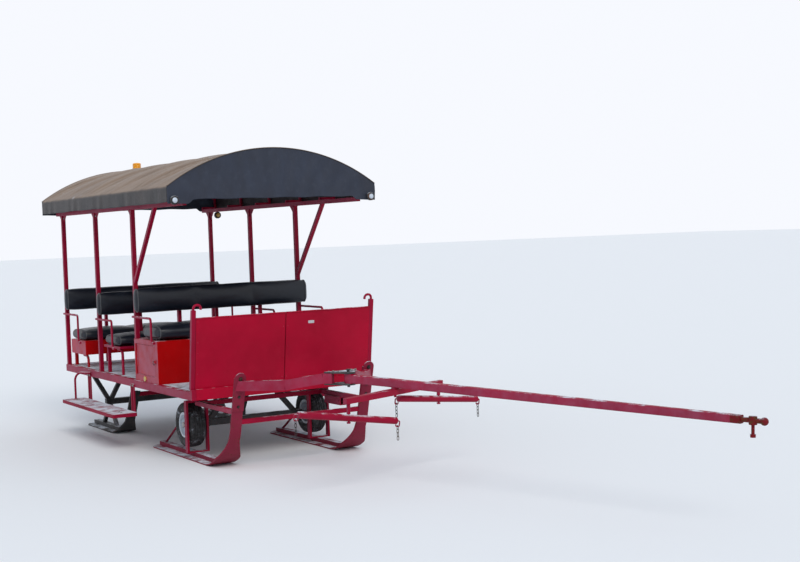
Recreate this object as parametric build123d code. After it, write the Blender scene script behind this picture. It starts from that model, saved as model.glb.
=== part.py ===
"""Horse drawn passenger sleigh with a canopy, on runners, with small front wheels.

Millimetres. +X points forward, +Y to the sleigh's left, +Z up. The model is laid out from
the front edge of the deck at x = 0, its centre plane at y = 0 and the floor at z = 0, and is
written with its origin at the centre of the deck's top face.
"""
import math
import os

from build123d import *

os.makedirs("parts", exist_ok=True)

# Deck
deck_length = 3660
deck_width = 1800
deck_top = 635
rail_height = 70
rail_width = 50
board_thickness = 18
board_gap = 2
cross_spacing = 610
cross_width = 50

# Dash
dash_sill = 22
dash_height = 635
dash_lean = 8.5
dash_depth = 22
dash_sheet = 3
dash_gap = 8
dash_set_back = 22
dash_post_size = 40
dash_post_length = 700
dash_hook_radius = 34
dash_hook_rod = 11

# Seats
seat_fronts = {"front": -830, "middle": -1950, "rear": -3060}
seat_depth = 500
seat_side_gap = 40
box_height = 400
box_depth = 620
box_wall = 15
door_rear_margin = 60
door_front_margin = 70
door_bottom = 65
door_top = 45
door_gap = 3
hinge_pin_radius = 4
hinge_knuckle_radius = 8
hinge_clearance = 0.3
staple_offset = 12
staple_width = 8
staple_height = 24
staple_gap = 1.5
bench_seat_height = 285
bench_board_thickness = 22
bench_leg_size = 32
bench_leg_inset = 40
bench_tube = 14
bench_tube_reach = 130
bench_tube_bend = 55
bench_tube_weld = 2
rear_apron_height = 150
cushion_thickness = {"front": 145, "middle": 115, "rear": 120}
cushion_round = 42
seat_clearance = 0.3
pad_height = 250
pad_thickness = 115
pad_round = 50
pad_bottom_over_deck = {"front": 640, "middle": 575, "rear": 590}
pad_overhang = 15
stay_size = 32
stay_offset = 430
arm_rod = 11
arm_height_over_pad_bottom = 18
arm_length = 330
arm_drop_foot = 60

# Posts and roof
post_size = 40
post_inset = 35
post_behind_seat = 590
header_bottom = 2265
header_size = 40
strut_size = 34
strut_reach = 640
strut_foot = 1560
gusset_size = 90
gusset_thickness = 8
roof_front = -60
roof_rear = -3860
roof_half_width = 1030
roof_hem = header_bottom + 25
roof_eave = roof_hem + 142
roof_crown = roof_eave + 333
roof_skin = 8
hoop_size = 25
hoop_count = 6
hoop_end_inset = 20
gable_thickness = 6
gable_hem_middle = roof_hem + 22
gable_flap_width = 190
gable_corner_drop = 14

# Lamps
beacon_x = -3640
beacon_radius = 48
beacon_base_height = 14
beacon_lens_height = 66
lamp_radius = 38
lamp_depth = 42
lamp_inset = 58
rear_lamp_x = -3440
reflector_x = -1190
reflector_radius = 24
reflector_depth = 9

# Side steps
step_rear = -3000
step_front = -1380
step_width = 242
step_top = 330
step_depth = 35
step_wall = 8
hanger_strip = 30
hanger_spacing = 62
hanger_thickness = 12
hanger_xs = (-1500, -2830)
arch_rod = 11
arch_rise = 40
arch_foot = 60
arch_back = 130
arch_reach = 110
arch_bend = 90

# Running gear
sole_level = -35
sole_height = 50
sole_plate = 12
ski_half_width = 120
ski_nose_half_width = 50
runner_width = 70
track_half = 625
front_axle_x = -750
rear_axle_x = -3050
axle_height = 255
axle_size = 60
axle_brace = 44
axle_brace_top = 190
bolster_half_length = 170
bolster_half_width = 260
bolster_thickness = 16
strut_spread = 175
strut_width = 42
tyre_radius = 209
tyre_width = 162
rim_radius = 101.5
flange_radius = 116
rim_width = 137
bead_inset = 14
hub_radius = 34
hub_reach = 74
rim_dish = 34
spindle_radius = 12.5
bore_clearance = 0.05
side_clearance = 7
guard_strip = 50
guard_thickness = 20
guard_ahead = 150
guard_top = 475
front_runner = {"tail": -1540, "taper": (90, 245), "rise": -178, "bend": 490, "sweep": 74, "top": 815}
rear_runner = {"tail": -3560, "taper": (-2600, -2420), "rise": -2730, "bend": 400, "sweep": 58, "top": 480}
rear_leg_reach = 210
rear_leg_width = 36
nose_plate_width = 105
nose_plate_thickness = 8
nose_plate_length = 350
nose_head_reach = 44
nose_slot = (13, 48)
tie_size = 40
tie_bottom = 450
cross_bar_size = 40
tie_cross_bar_x = -495
front_cross_bar_z = 380
rear_cross_bar_z = 400
receiver_size = 75
receiver_wall = 6
receiver_length = 320
receiver_rear = -387
brace_rod = 11

# Draft gear
arm_nose_height = 702
arm_middle_height = 718
draft_height = 778
arm_width = 50
arm_height = 84
arm_gap = 95
arm_knee = 65
hitch_x = 1200
hitch_reach = 150
hitch_plate = 12
hitch_pin_radius = 12
hitch_pin_clearance = 1.2
tongue_turn = 17
tongue_fall = 1.5
tongue_root = 68
tongue_end = 56
tongue_length = 3480
tongue_slack = 3
tip_reach = 3710
tip_ball_radius = 27
evener_offset = 520
evener_turn = 5
evener_half = 630
evener_depth = 74
evener_height = 44
evener_drop = 12
evener_pin_radius = 11
evener_pin_reach = 22
boss_radius = 32
pin_clearance = 0.3
swing_offset = 590
swing_half = 465
swing_radius = 27
swing_drop = 78
swing_rod_radius = 15
swing_pin_radius = 8
swing_lift = 4
swing_roll = {"right": -9, "left": -6.5}
swing_turn = {"right": -15.5, "left": -9.5}
hook_rod = 5
hook_reach = 30
hook_drop = 44
link_inner_length = 28
link_inner_width = 12
link_wire = 5
link_count = 4
link_slack = 0.1

# Worked out from the sizes above
half_deck = deck_width / 2
rail_bottom = deck_top - rail_height
box_top = deck_top + box_height
post_y = half_deck - post_inset
post_outer = post_y + post_size / 2
header_top = header_bottom + header_size
board_bottom = deck_top - board_thickness
sides = {"right": -1, "left": 1}


def block(x0, x1, y0, y1, z0, z1):
    """Box between two corners."""
    return Pos((x0 + x1) / 2, (y0 + y1) / 2, (z0 + z1) / 2) * Box(x1 - x0, y1 - y0, z1 - z0)


def both(shape):
    """The shape and its mirror image across the centre plane."""
    return shape + mirror(shape, about=Plane.XZ)


def on_side(shape, side):
    """A shape drawn for the left side, moved to the side asked for."""
    return shape if side == "left" else mirror(shape, about=Plane.XZ)


def frame_at(start, end):
    """Plane at start that looks along the line to end, its x axis level."""
    run = Vector(*end) - Vector(*start)
    level = Vector(0, 0, 1).cross(run)
    if level.length < 1e-6:
        level = Vector(1, 0, 0)
    return Plane(origin=Vector(*start), x_dir=level.normalized(), z_dir=run.normalized())


def bar(start, end, width, height):
    """Square bar whose centre line runs between two points."""
    run = (Vector(*end) - Vector(*start)).length
    return extrude(frame_at(start, end) * Rectangle(width, height), amount=run)


def rod(start, end, radius):
    """Round rod between two points."""
    run = (Vector(*end) - Vector(*start)).length
    return extrude(frame_at(start, end) * Circle(radius), amount=run)


def bent_rod(points, bend, radius):
    """Round rod along a line with rounded corners."""
    path = FilletPolyline(*points, radius=bend)
    start = Plane(origin=path @ 0, z_dir=path % 0)
    return sweep(start * Circle(radius), path=path)


def disc(x, y, z, radius, length, axis):
    """Cylinder whose centre is at the point given and whose axis is x, y or z."""
    turn = {"x": Rot(0, 90, 0), "y": Rot(90, 0, 0), "z": Rot(0, 0, 0)}[axis]
    return Pos(x, y, z) * turn * Cylinder(radius, length)


def make_deck_frame():
    """Rail all round with cross members under the board and the sill that the dash stands on."""
    outer = block(-deck_length, 0, -half_deck, half_deck, rail_bottom, deck_top)
    inner_y = half_deck - rail_width
    inner = block(rail_width - deck_length, -rail_width, -inner_y, inner_y, rail_bottom, deck_top)
    frame = outer - inner
    frame += block(-dash_set_back - dash_depth, 0, -half_deck, half_deck, deck_top, deck_top + dash_sill)
    count = int(deck_length / cross_spacing - 0.5)
    for i in range(1, count + 1):
        x = -cross_spacing * i
        frame += block(x - cross_width / 2, x + cross_width / 2, -inner_y, inner_y,
                       rail_bottom, board_bottom)
    return frame


def make_deck_board():
    inset = rail_width + board_gap
    return block(inset - deck_length, -inset, inset - half_deck, half_deck - inset,
                 board_bottom, deck_top)


def lean(shape):
    """Stands a dash piece, drawn upright from z = 0, on the sill and tips it forward."""
    return Pos(-dash_set_back, 0, deck_top + dash_sill) * Rot(0, dash_lean, 0) * shape


def make_dash_panel():
    """Left half of the dash: a sheet with its edges folded back, a ledge and an apron over the rail."""
    y0 = dash_gap / 2
    y1 = half_deck - dash_post_size - 1
    pan = block(-dash_depth, 0, y0, y1, 0, dash_height)
    pan -= block(-dash_depth, -dash_sheet, y0 + dash_sheet, y1 - dash_sheet,
                 dash_sheet, dash_height - dash_sheet)
    sill_top = deck_top + dash_sill
    ledge = block(-dash_set_back - dash_depth, dash_sheet, y0, y1, sill_top, sill_top + dash_sheet)
    apron = block(0, dash_sheet, y0, y1, rail_bottom, sill_top)
    return lean(pan) + ledge + apron


def make_dash_post():
    """Left corner post with its top curled inward for the reins."""
    y1 = half_deck
    y0 = half_deck - dash_post_size
    post = block(-dash_post_size, 0, y0, y1, 0, dash_post_length)
    post = fillet(post.edges().filter_by(Axis.Z), 6)
    x = -dash_post_size / 2
    y = (y0 + y1) / 2
    foot = dash_post_length - 10
    turn = dash_post_length + 12
    inner = y - 2 * dash_hook_radius
    hook = bent_rod(
        [(x, y, foot), (x, y, turn + dash_hook_radius), (x, inner, turn + dash_hook_radius),
         (x, inner, turn - 8)], dash_hook_radius * 0.95, dash_hook_rod)
    return lean(post + hook)


def seat_box_size():
    """Front, rear and half length of the box under the front seat."""
    front = seat_fronts["front"] - 10
    return front, front - box_depth, post_outer


def door_opening():
    """Low x, high x, low z and high z of the door opening in each end of the seat box."""
    front, rear, half = seat_box_size()
    return rear + door_rear_margin, front - door_front_margin, deck_top + door_bottom, box_top - door_top


def hinge_line():
    """The left door's hinge: x and y of its pin."""
    x0, x1, z0, z1 = door_opening()
    half = seat_box_size()[2]
    return x0, half + hinge_knuckle_radius


def make_seat_box():
    """Box under the front seat: two walls, a top and two end frames that its doors close."""
    front, rear, half = seat_box_size()
    inner = half - box_wall
    low = box_top - box_wall
    walls = [block(front - box_wall, front, -half, half, deck_top, low),
             block(rear, rear + box_wall, -half, half, deck_top, low),
             block(rear, front, -half, half, low, box_top)]
    x0, x1, z0, z1 = door_opening()
    behind = rear + box_wall
    ahead = front - box_wall
    walls += pair(block(behind, ahead, inner, half, deck_top, z0))
    walls += pair(block(behind, ahead, inner, half, z1, low))
    walls += pair(block(x1, ahead, inner, half, z0, z1) + make_staple())
    walls += pair(block(behind, x0, inner, half, z0, z1) + make_fixed_hinge())
    return Compound(children=walls)


def pair(shape):
    """A left solid and its mirror image, as a list."""
    return [shape.solid(), mirror(shape, about=Plane.XZ).solid()]


def make_fixed_hinge():
    """Upper and lower knuckles of the left door's hinge, with their leaves and the pin."""
    z0, z1 = door_opening()[2:]
    half = seat_box_size()[2]
    hx, hy = hinge_line()
    knuckle = (z1 - z0) / 4
    hinge = disc(hx, hy, (z0 + z1) / 2, hinge_pin_radius, z1 - z0, "z")
    for low in (z0, z1 - knuckle):
        hinge += disc(hx, hy, low + knuckle / 2, hinge_knuckle_radius, knuckle, "z")
        hinge += block(hx - 24, hx, half, half + 3, low, low + knuckle)
    return hinge


def make_staple():
    """Staple on the left end that the hasp's slot passes over."""
    x0, x1, z0, z1 = door_opening()
    half = seat_box_size()[2]
    middle = (z0 + z1) / 2
    return block(x1 + staple_offset, x1 + staple_offset + staple_width, half, half + 16,
                 middle - staple_height / 2, middle + staple_height / 2)


def make_box_door():
    """Left end door of the seat box, with its hinge barrel and hasp."""
    x0, x1, z0, z1 = door_opening()
    half = seat_box_size()[2]
    door = block(x0 + door_gap, x1 - door_gap, half - box_wall, half, z0 + door_gap, z1 - door_gap)
    hx, hy = hinge_line()
    knuckle = (z1 - z0) / 4
    mid = (z0 + z1) / 2
    length = z1 - z0 - 2 * knuckle - 2
    barrel = disc(hx, hy, mid, hinge_knuckle_radius, length, "z")
    leaf = block(hx + 2, hx + 34, half, half + 3, mid - length / 2, mid + length / 2)
    web = block(hx, hx + 8, half, half + 5, mid - length / 2, mid + length / 2)
    hasp_end = x1 + staple_offset + staple_width + 14
    hasp = block(x1 - 70, hasp_end, half, half + 4, mid - 20, mid + 20)
    hasp -= block(x1 + staple_offset - staple_gap, x1 + staple_offset + staple_width + staple_gap,
                  half - 1, half + 5, mid - staple_height / 2 - staple_gap, mid + staple_height / 2 + staple_gap)
    door = door + barrel + leaf + web + hasp
    bore = disc(hx, hy, mid, hinge_pin_radius + hinge_clearance, z1 - z0, "z")
    return door - bore


def bench_top():
    return deck_top + bench_seat_height


def make_bench(row, depth):
    """Bench top of a given depth with rounded corners, on its legs."""
    front = seat_fronts[row]
    half = half_deck - seat_side_gap
    seat = block(front - seat_depth, front - 10, -half, half, bench_top() - depth, bench_top())
    seat = fillet(seat.edges().filter_by(Axis.Z), 8)
    return seat + make_bench_legs(row, bench_top() - depth)


def make_bench_legs(row, top):
    """Three square legs at the rear and three bent tubes at the front of a bench."""
    front = seat_fronts[row]
    leg_y = half_deck - seat_side_gap - bench_leg_inset
    half = bench_leg_size / 2
    rear_x = front - seat_depth + bench_leg_inset
    front_x = front - 10 - bench_leg_inset
    tube_z = top - bench_tube + bench_tube_weld
    legs = Part()
    for y in (-leg_y, 0, leg_y):
        legs += block(rear_x - half, rear_x + half, y - half, y + half, deck_top, top)
        legs += bent_rod([(front_x - bench_tube_reach, y, tube_z), (front_x, y, tube_z), (front_x, y, deck_top)],
                         bench_tube_bend, bench_tube)
    return legs


def seat_top(row):
    return box_top if row == "front" else bench_top()


def make_cushion(row):
    """Seat cushion with a domed top and rounded ends."""
    front = seat_fronts[row]
    half = half_deck - seat_side_gap + 15
    low = seat_top(row) + seat_clearance
    high = low + cushion_thickness[row]
    pad = block(front - seat_depth + 20, front, -half, half, low, high)
    top = pad.edges().group_by(Axis.Z)[-1]
    pad = fillet(top, cushion_round)
    upright = pad.edges().filter_by(Axis.Z)
    return fillet(upright, 20)


def pad_span(row):
    """Low z of a backrest and the x of its rear face."""
    low = deck_top + pad_bottom_over_deck[row]
    rear = seat_fronts[row] - post_behind_seat + post_size / 2 + seat_clearance
    return low, rear


def make_backrest(row):
    """Padded backrest, round at its ends and edges, in front of the posts."""
    low, rear = pad_span(row)
    half = half_deck + pad_overhang
    pad = block(rear, rear + pad_thickness, -half, half, low, low + pad_height)
    return fillet(pad.edges(), pad_round)


def make_backrest_stays():
    """Square stays that carry the backrests between the posts."""
    stays = Part()
    for row in seat_fronts:
        low, rear = pad_span(row)
        foot = box_top if row == "front" else deck_top
        x1 = rear - seat_clearance
        for y in (-stay_offset, stay_offset):
            stays += block(x1 - stay_size, x1, y - stay_size / 2, y + stay_size / 2,
                           foot, low + pad_height - 40)
    return stays


def make_armrests():
    """Bent tube at each end of each seat, from the post forward and down to the seat."""
    rails = Part()
    y = post_outer + seat_clearance + arm_rod
    for row in seat_fronts:
        low, rear = pad_span(row)
        z = low + arm_height_over_pad_bottom - pad_round
        x0 = rear - seat_clearance - post_size
        x1 = rear + pad_thickness + arm_length
        foot = seat_top(row) - 20
        rail = bent_rod([(x0, y, z), (x1, y, z), (x1, y, foot), (x1 + arm_drop_foot, y, foot)], 28, arm_rod)
        rails += both(rail)
    return rails


def post_x(row):
    return seat_fronts[row] - post_behind_seat


def gusset(x, direction):
    """Triangular plate between a post's head and the header."""
    half = post_size / 2
    with BuildSketch(Plane.XZ) as face:
        with BuildLine():
            Polyline((x + direction * half, header_bottom - gusset_size), (x + direction * half, header_bottom),
                     (x + direction * (half + gusset_size), header_bottom), close=True)
        make_face()
    return Pos(0, post_y + gusset_thickness / 2, 0) * extrude(face.sketch, amount=gusset_thickness)


def make_posts():
    """Left posts: one behind each seat, and the strut that spreads from the front one."""
    half = post_size / 2
    posts = Part()
    for row in seat_fronts:
        x = post_x(row)
        foot = box_top if row == "front" else deck_top
        post = block(x - half, x + half, post_y - half, post_y + half, foot, header_bottom)
        post += gusset(x, -1)
        if row == "front":
            top = (x + strut_reach, post_y, header_bottom + strut_size)
            strut = bar((x, post_y, strut_foot), top, strut_size, strut_size)
            strut -= block(x - 500, x + 2 * strut_reach, post_y - half, post_y + half,
                           header_bottom, header_bottom + 200)
            post += strut
        else:
            post += gusset(x, 1)
        posts += post
    return posts


def make_header():
    half = header_size / 2
    return block(roof_rear + hoop_end_inset, roof_front - hoop_end_inset, post_y - half, post_y + half,
                 header_bottom, header_top)


def roof_outline(inset, hem):
    """Closed cross section of the canopy, moved inward by inset, in the YZ plane."""
    rise = roof_crown - roof_eave
    radius = (roof_half_width ** 2 + rise ** 2) / (2 * rise)
    centre_z = roof_crown - radius
    half = roof_half_width - inset
    eave = centre_z + math.sqrt((radius - inset) ** 2 - half ** 2)
    crown = roof_crown - inset
    with BuildSketch(Plane.YZ) as face:
        with BuildLine():
            Polyline((-half, eave), (-half, hem), (half, hem), (half, eave))
            ThreePointArc((half, eave), (0, crown), (-half, eave))
        make_face()
    return face.sketch


def slab(outline, x0, x1):
    """Outline in the YZ plane made solid between two x values."""
    return Pos(x0, 0, 0) * extrude(outline, amount=x1 - x0)


def make_roof():
    """Arched skin with straight sides, open below and at both ends."""
    outer = slab(roof_outline(0, roof_hem), roof_rear, roof_front)
    inner = slab(roof_outline(roof_skin, roof_hem - 10), roof_rear - 1, roof_front + 1)
    return outer - inner


def make_gable(x0):
    """End panel of the canopy: straight hem with a deeper flap at each corner."""
    panel = slab(roof_outline(0, roof_hem - gable_corner_drop), x0, x0 + gable_thickness)
    half = roof_half_width - gable_flap_width
    top = half - 60
    with BuildSketch(Plane.YZ) as face:
        with BuildLine():
            Polyline((-half, roof_hem - 30), (-top, gable_hem_middle), (top, gable_hem_middle),
                     (half, roof_hem - 30), close=True)
        make_face()
    return panel - slab(face.sketch, x0 - 1, x0 + gable_thickness + 1)


def hoop_xs():
    first = roof_rear + hoop_end_inset
    last = roof_front - hoop_end_inset - hoop_size
    step = (last - first) / (hoop_count - 1)
    return [first + step * i for i in range(hoop_count)]


def make_hoops():
    """Square tube hoops under the skin, each with feet on the headers."""
    inset = roof_skin + 1
    foot = header_top
    whole = roof_outline(inset, foot)
    hollow = roof_outline(inset + hoop_size, foot - 10)
    reach = post_y - header_size / 2
    outer_y = roof_half_width - inset
    hoops = Part()
    for x in hoop_xs():
        hoop = slab(whole, x, x + hoop_size) - slab(hollow, x - 1, x + hoop_size + 1)
        feet = block(x, x + hoop_size, reach, outer_y, foot, foot + hoop_size)
        hoops += hoop + both(feet)
    return hoops


def make_ridge_pole():
    top = roof_crown - roof_skin - 1 - hoop_size - seat_clearance
    return block(roof_rear + hoop_end_inset, roof_front - hoop_end_inset, -hoop_size / 2, hoop_size / 2,
                 top - hoop_size, top)


def make_beacon_base():
    base = disc(beacon_x, 0, roof_crown + beacon_base_height / 2, beacon_radius + 6, beacon_base_height, "z")
    return chamfer(base.edges().group_by(Axis.Z)[-1], 4)


def make_beacon_lens():
    low = roof_crown + beacon_base_height
    lens = disc(beacon_x, 0, low + beacon_lens_height / 2, beacon_radius, beacon_lens_height, "z")
    return chamfer(lens.edges().group_by(Axis.Z)[-1], 12)


def round_lamp(x0, y, z, radius, depth):
    """Round lamp facing forward, with a bevelled lens."""
    lamp = disc(x0 + depth / 2, y, z, radius, depth, "x")
    return chamfer(lamp.edges().group_by(Axis.X)[-1], radius * 0.35)


def make_corner_lamps():
    y = roof_half_width - lamp_inset
    return both(round_lamp(roof_front + gable_thickness, y, roof_hem + 18, lamp_radius, lamp_depth))


def make_rear_lamp():
    z = header_bottom - lamp_radius
    return round_lamp(rear_lamp_x, post_y, z, lamp_radius, lamp_depth)


def make_reflectors():
    """Round reflectors low on the ends of the seat box."""
    half = seat_box_size()[2]
    z = deck_top + reflector_radius + 6
    return both(disc(reflector_x, half + reflector_depth / 2, z, reflector_radius, reflector_depth, "y"))


def make_step_board():
    """Left side step: a tray turned upside down."""
    y0 = half_deck + hanger_thickness
    y1 = y0 + step_width
    board = block(step_rear, step_front, y0, y1, step_top - step_depth, step_top)
    board = fillet(board.edges().filter_by(Axis.Z), 12)
    return board - block(step_rear + step_wall, step_front - step_wall, y0 + step_wall, y1 - step_wall,
                         step_top - step_depth, step_top - step_wall)


def make_step_hangers():
    """Strips in pairs from the rail to the steps, their feet under the board, and the rear arch."""
    y0 = half_deck
    y1 = half_deck + hanger_thickness
    foot = step_top - step_depth
    hangers = Part()
    for x in hanger_xs:
        hanger = block(x - hanger_spacing / 2 - hanger_strip / 2, x + hanger_spacing / 2 + hanger_strip / 2,
                       y0, y1, rail_bottom, rail_bottom + hanger_strip)
        for offset in (-hanger_spacing / 2, hanger_spacing / 2):
            left = x + offset - hanger_strip / 2
            right = x + offset + hanger_strip / 2
            hanger += block(left, right, y0, y1, foot - 8, rail_bottom + 5)
            hanger += block(left, right, y0, y1 + step_width - 30, foot - 8, foot)
        hangers += hanger
    top = rail_bottom + arch_rise
    back = hanger_xs[1] - arch_back
    arch = bent_rod([(hanger_xs[1] + arch_foot, y0 + arch_rod, top), (back, y1 + arch_reach, top),
                     (back, y1 + arch_reach, step_top)], arch_bend, arch_rod)
    return both(hangers + arch)


def runner_line(spec, depth):
    """Start, middle and end of a runner's bend in side view, at a depth above its sole."""
    bend = spec["bend"] - depth
    angle = math.radians(spec["sweep"])
    cx = spec["rise"]
    cz = sole_level + spec["bend"]
    end = (cx + bend * math.sin(angle), cz - bend * math.cos(angle))
    middle = (cx + bend * math.sin(angle / 2), cz - bend * math.cos(angle / 2))
    return (cx, sole_level + depth), middle, end


def nose_point(spec, depth, height):
    """Point on the straight nose of a runner at a depth above its sole and at a height."""
    end = runner_line(spec, depth)[2]
    return end[0] + (height - end[1]) / math.tan(math.radians(spec["sweep"])), height


def runner_profile(spec, low, high, tail):
    """Side view of a runner between two depths above its sole, in the XZ plane."""
    a0, a1, a2 = runner_line(spec, low)
    b0, b1, b2 = runner_line(spec, high)
    top = spec["top"] - nose_head_reach
    a3 = nose_point(spec, low, top)
    b3 = nose_point(spec, high, top)
    with BuildSketch(Plane.XZ) as face:
        with BuildLine():
            Line((tail, a0[1]), a0)
            ThreePointArc(a0, a1, a2)
            Line(a2, a3)
            Line(a3, b3)
            Line(b3, b2)
            ThreePointArc(b2, b1, b0)
            Line(b0, (tail, b0[1]))
            Line((tail, b0[1]), (tail, a0[1]))
        make_face()
    return face.sketch


def make_ski(spec):
    """Sole plate seen from above: round tail, parallel sides and a taper to the nose."""
    wide = ski_half_width
    narrow = ski_nose_half_width
    tail = spec["tail"]
    start, end = spec["taper"]
    reach = nose_point(spec, 0, spec["top"])[0] + 100
    with BuildSketch() as outline:
        with BuildLine():
            Polyline((tail + wide, wide), (start, wide), (end, narrow), (reach, narrow), (reach, -narrow),
                     (end, -narrow), (start, -wide), (tail + wide, -wide))
            ThreePointArc((tail + wide, -wide), (tail, 0), (tail + wide, wide))
        make_face()
    plan = Pos(0, 0, sole_level - 1) * extrude(outline.sketch, amount=spec["top"] - sole_level + 2)
    plate = Pos(0, wide, 0) * extrude(runner_profile(spec, 0, sole_plate, tail), amount=2 * wide)
    return plate & plan


def make_runner_blade(spec):
    """Sole plate and the rail that stands on it, in the plane y = 0."""
    rail = extrude(runner_profile(spec, sole_plate, sole_height, spec["tail"] + 50), amount=runner_width)
    return make_ski(spec) + Pos(0, runner_width / 2, 0) * rail


def nose_frame(spec, height):
    """Plane on the front face of a runner's nose at a height: z ahead, y up along the nose."""
    angle = math.radians(spec["sweep"])
    normal = Vector(math.sin(angle), 0, -math.cos(angle))
    return Plane(origin=(nose_point(spec, 0, height)[0], 0, height), x_dir=(0, 1, 0), z_dir=normal)


def make_nose_plate(spec):
    """Plate with a round head and a slot on the front of the nose."""
    half = nose_plate_width / 2
    sketch = Rectangle(nose_plate_width, nose_plate_length - half, align=(Align.CENTER, Align.MAX))
    sketch += Circle(half)
    sketch -= Pos(0, -half) * Rectangle(*nose_slot)
    return extrude(nose_frame(spec, spec["top"] - half + 6) * sketch, amount=nose_plate_thickness)


def make_front_runner():
    """Left front runner with its nose plate and the brace behind the wheel."""
    blade = make_runner_blade(front_runner) + make_nose_plate(front_runner)
    foot = front_runner["tail"] + 130
    rail_top = sole_level + sole_height
    rear = front_axle_x - tyre_radius - 40
    inner = -(tyre_width / 2 + side_clearance + guard_thickness / 2)
    end = front_axle_x - axle_size / 2 - seat_clearance
    brace = bent_rod([(foot, 0, rail_top - 6), (rear, 0, axle_height), (rear + 20, inner, axle_height),
                      (end, inner, axle_height)], 18, brace_rod)
    return Pos(0, track_half, 0) * (blade + brace)


def make_rear_runner():
    """Left rear runner with the two legs that carry the axle."""
    blade = make_runner_blade(rear_runner)
    top = axle_height - axle_size / 2
    above = block(rear_axle_x - 100, rear_axle_x + 100, -40, 40, top, top + 100)
    for reach in (-rear_leg_reach, rear_leg_reach):
        foot = (rear_axle_x + reach, 0, sole_level + sole_height - 12)
        leg = bar((rear_axle_x, 0, top + 20), foot, rear_leg_width, rear_leg_width)
        blade += leg - above
    return Pos(0, track_half, 0) * blade


def make_front_axle():
    """Front axle beam with its spindles, braces and the plate under the deck."""
    half = axle_size / 2
    end = track_half - tyre_width / 2 - side_clearance - guard_thickness
    beam = block(front_axle_x - half, front_axle_x + half, -end, end, axle_height - half, axle_height + half)
    plate = block(front_axle_x - bolster_half_length, front_axle_x + bolster_half_length,
                  -bolster_half_width, bolster_half_width, rail_bottom - bolster_thickness, rail_bottom)
    brace = bar((front_axle_x, end - axle_size, axle_height), (front_axle_x, axle_brace_top, rail_bottom),
                axle_brace, axle_brace)
    brace -= block(front_axle_x - axle_size, front_axle_x + axle_size, 0, half_deck, rail_bottom, deck_top)
    reach = track_half + hub_reach - end
    spindle = disc(front_axle_x, end + reach / 2, axle_height, spindle_radius, reach, "y")
    perch_x = front_axle_x + half
    perch = block(perch_x, front_axle_x + guard_ahead - guard_strip / 2, end - 30, end + guard_thickness,
                  axle_height - 20, axle_height + 20)
    return beam + plate + both(brace + spindle + perch)


def make_rear_axle():
    """Rear axle beam with the two spread struts at each end."""
    half = axle_size / 2
    end = track_half + runner_width / 2 + 10
    beam = block(rear_axle_x - half, rear_axle_x + half, -end, end, axle_height - half, axle_height + half)
    struts = Part()
    for spread in (-strut_spread, strut_spread):
        struts += bar((rear_axle_x, track_half, axle_height), (rear_axle_x, track_half + spread, rail_bottom),
                      strut_width, strut_width)
    struts -= block(rear_axle_x - axle_size, rear_axle_x + axle_size, 0, 2 * half_deck, rail_bottom, deck_top)
    return beam + both(struts)


def make_wheel_guard():
    """Left guard: a strip all the way round the wheel, standing on the runner."""
    x0 = front_axle_x + guard_ahead - guard_strip / 2
    x1 = x0 + guard_strip
    foot = sole_level + sole_height
    inner = tyre_width / 2 + side_clearance
    outer = inner + guard_thickness
    loop = block(x0, x1, track_half - outer, track_half + outer, foot, guard_top + guard_thickness)
    return loop - block(x0 - 1, x1 + 1, track_half - inner, track_half + inner, foot + 12, guard_top)


def make_runner_ties():
    """Bars from the guards forward to the noses of the front runners."""
    x0 = front_axle_x + guard_ahead + guard_strip / 2
    x1 = nose_point(front_runner, sole_height, tie_bottom)[0]
    half = tie_size / 2
    tie = block(x0, x1 + tie_size, track_half - half, track_half + half, tie_bottom, tie_bottom + tie_size)
    blade = Pos(0, track_half, 0) * make_runner_blade(front_runner)
    return both((tie - blade).solids().sort_by(Axis.X)[0])


def make_cross_bars():
    """Bars across: between the ties, between the front noses and between the rear noses."""
    half = cross_bar_size / 2
    reach = track_half - tie_size / 2
    nose = track_half - runner_width / 2
    bars = block(tie_cross_bar_x - half, tie_cross_bar_x + half, -reach, reach, tie_bottom, tie_bottom + tie_size)
    for spec, z in ((front_runner, front_cross_bar_z), (rear_runner, rear_cross_bar_z)):
        x = nose_point(spec, sole_height / 2, z)[0]
        bar_across = block(x - half, x + half, -nose, nose, z - half, z + half)
        bars += bar_across - both(Pos(0, track_half, 0) * make_ski(spec))
    return bars


def make_receiver():
    """Open square socket under the left tie, with a cross hole for a pin."""
    half = receiver_size / 2
    inner = half - receiver_wall
    x0 = receiver_rear
    x1 = x0 + receiver_length
    z1 = tie_bottom
    z0 = z1 - receiver_size
    socket = block(x0, x1, track_half - half, track_half + half, z0, z1)
    socket -= block(x0 - 1, x1 + 1, track_half - inner, track_half + inner, z0 + receiver_wall, z1 - receiver_wall)
    return socket - disc(x1 - 40, track_half, (z0 + z1) / 2, 8.5, receiver_size + 10, "y")


def nose_face_x(height):
    """x of the front face of a front nose plate at a height."""
    plane = nose_frame(front_runner, height)
    angle = math.radians(front_runner["sweep"])
    return plane.origin.X + nose_plate_thickness / math.sin(angle)


def make_draft_arms():
    """Arms from the front noses, rising in their front half to a level end between the hitch plates."""
    x0 = nose_face_x(arm_nose_height)
    x1 = hitch_x - arm_gap
    slope = (track_half - arm_gap) / (x1 - x0)
    arm = Part()
    line = [(x0 - arm_height, arm_nose_height), ((x0 + x1) / 2, arm_middle_height),
            (x1 - arm_knee, draft_height), (x1, draft_height)]
    points = [(x, arm_gap + (x1 - x) * slope, z) for x, z in line]
    for start, end in zip(points, points[1:]):
        arm += bar(start, end, arm_width, arm_height)
    behind = nose_frame(front_runner, arm_nose_height)
    cutter = extrude(behind * Rectangle(600, 600), amount=-200)
    cutter += extrude(behind * Rectangle(600, 600), amount=nose_plate_thickness)
    return both(arm - Pos(0, track_half, 0) * cutter)


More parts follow.
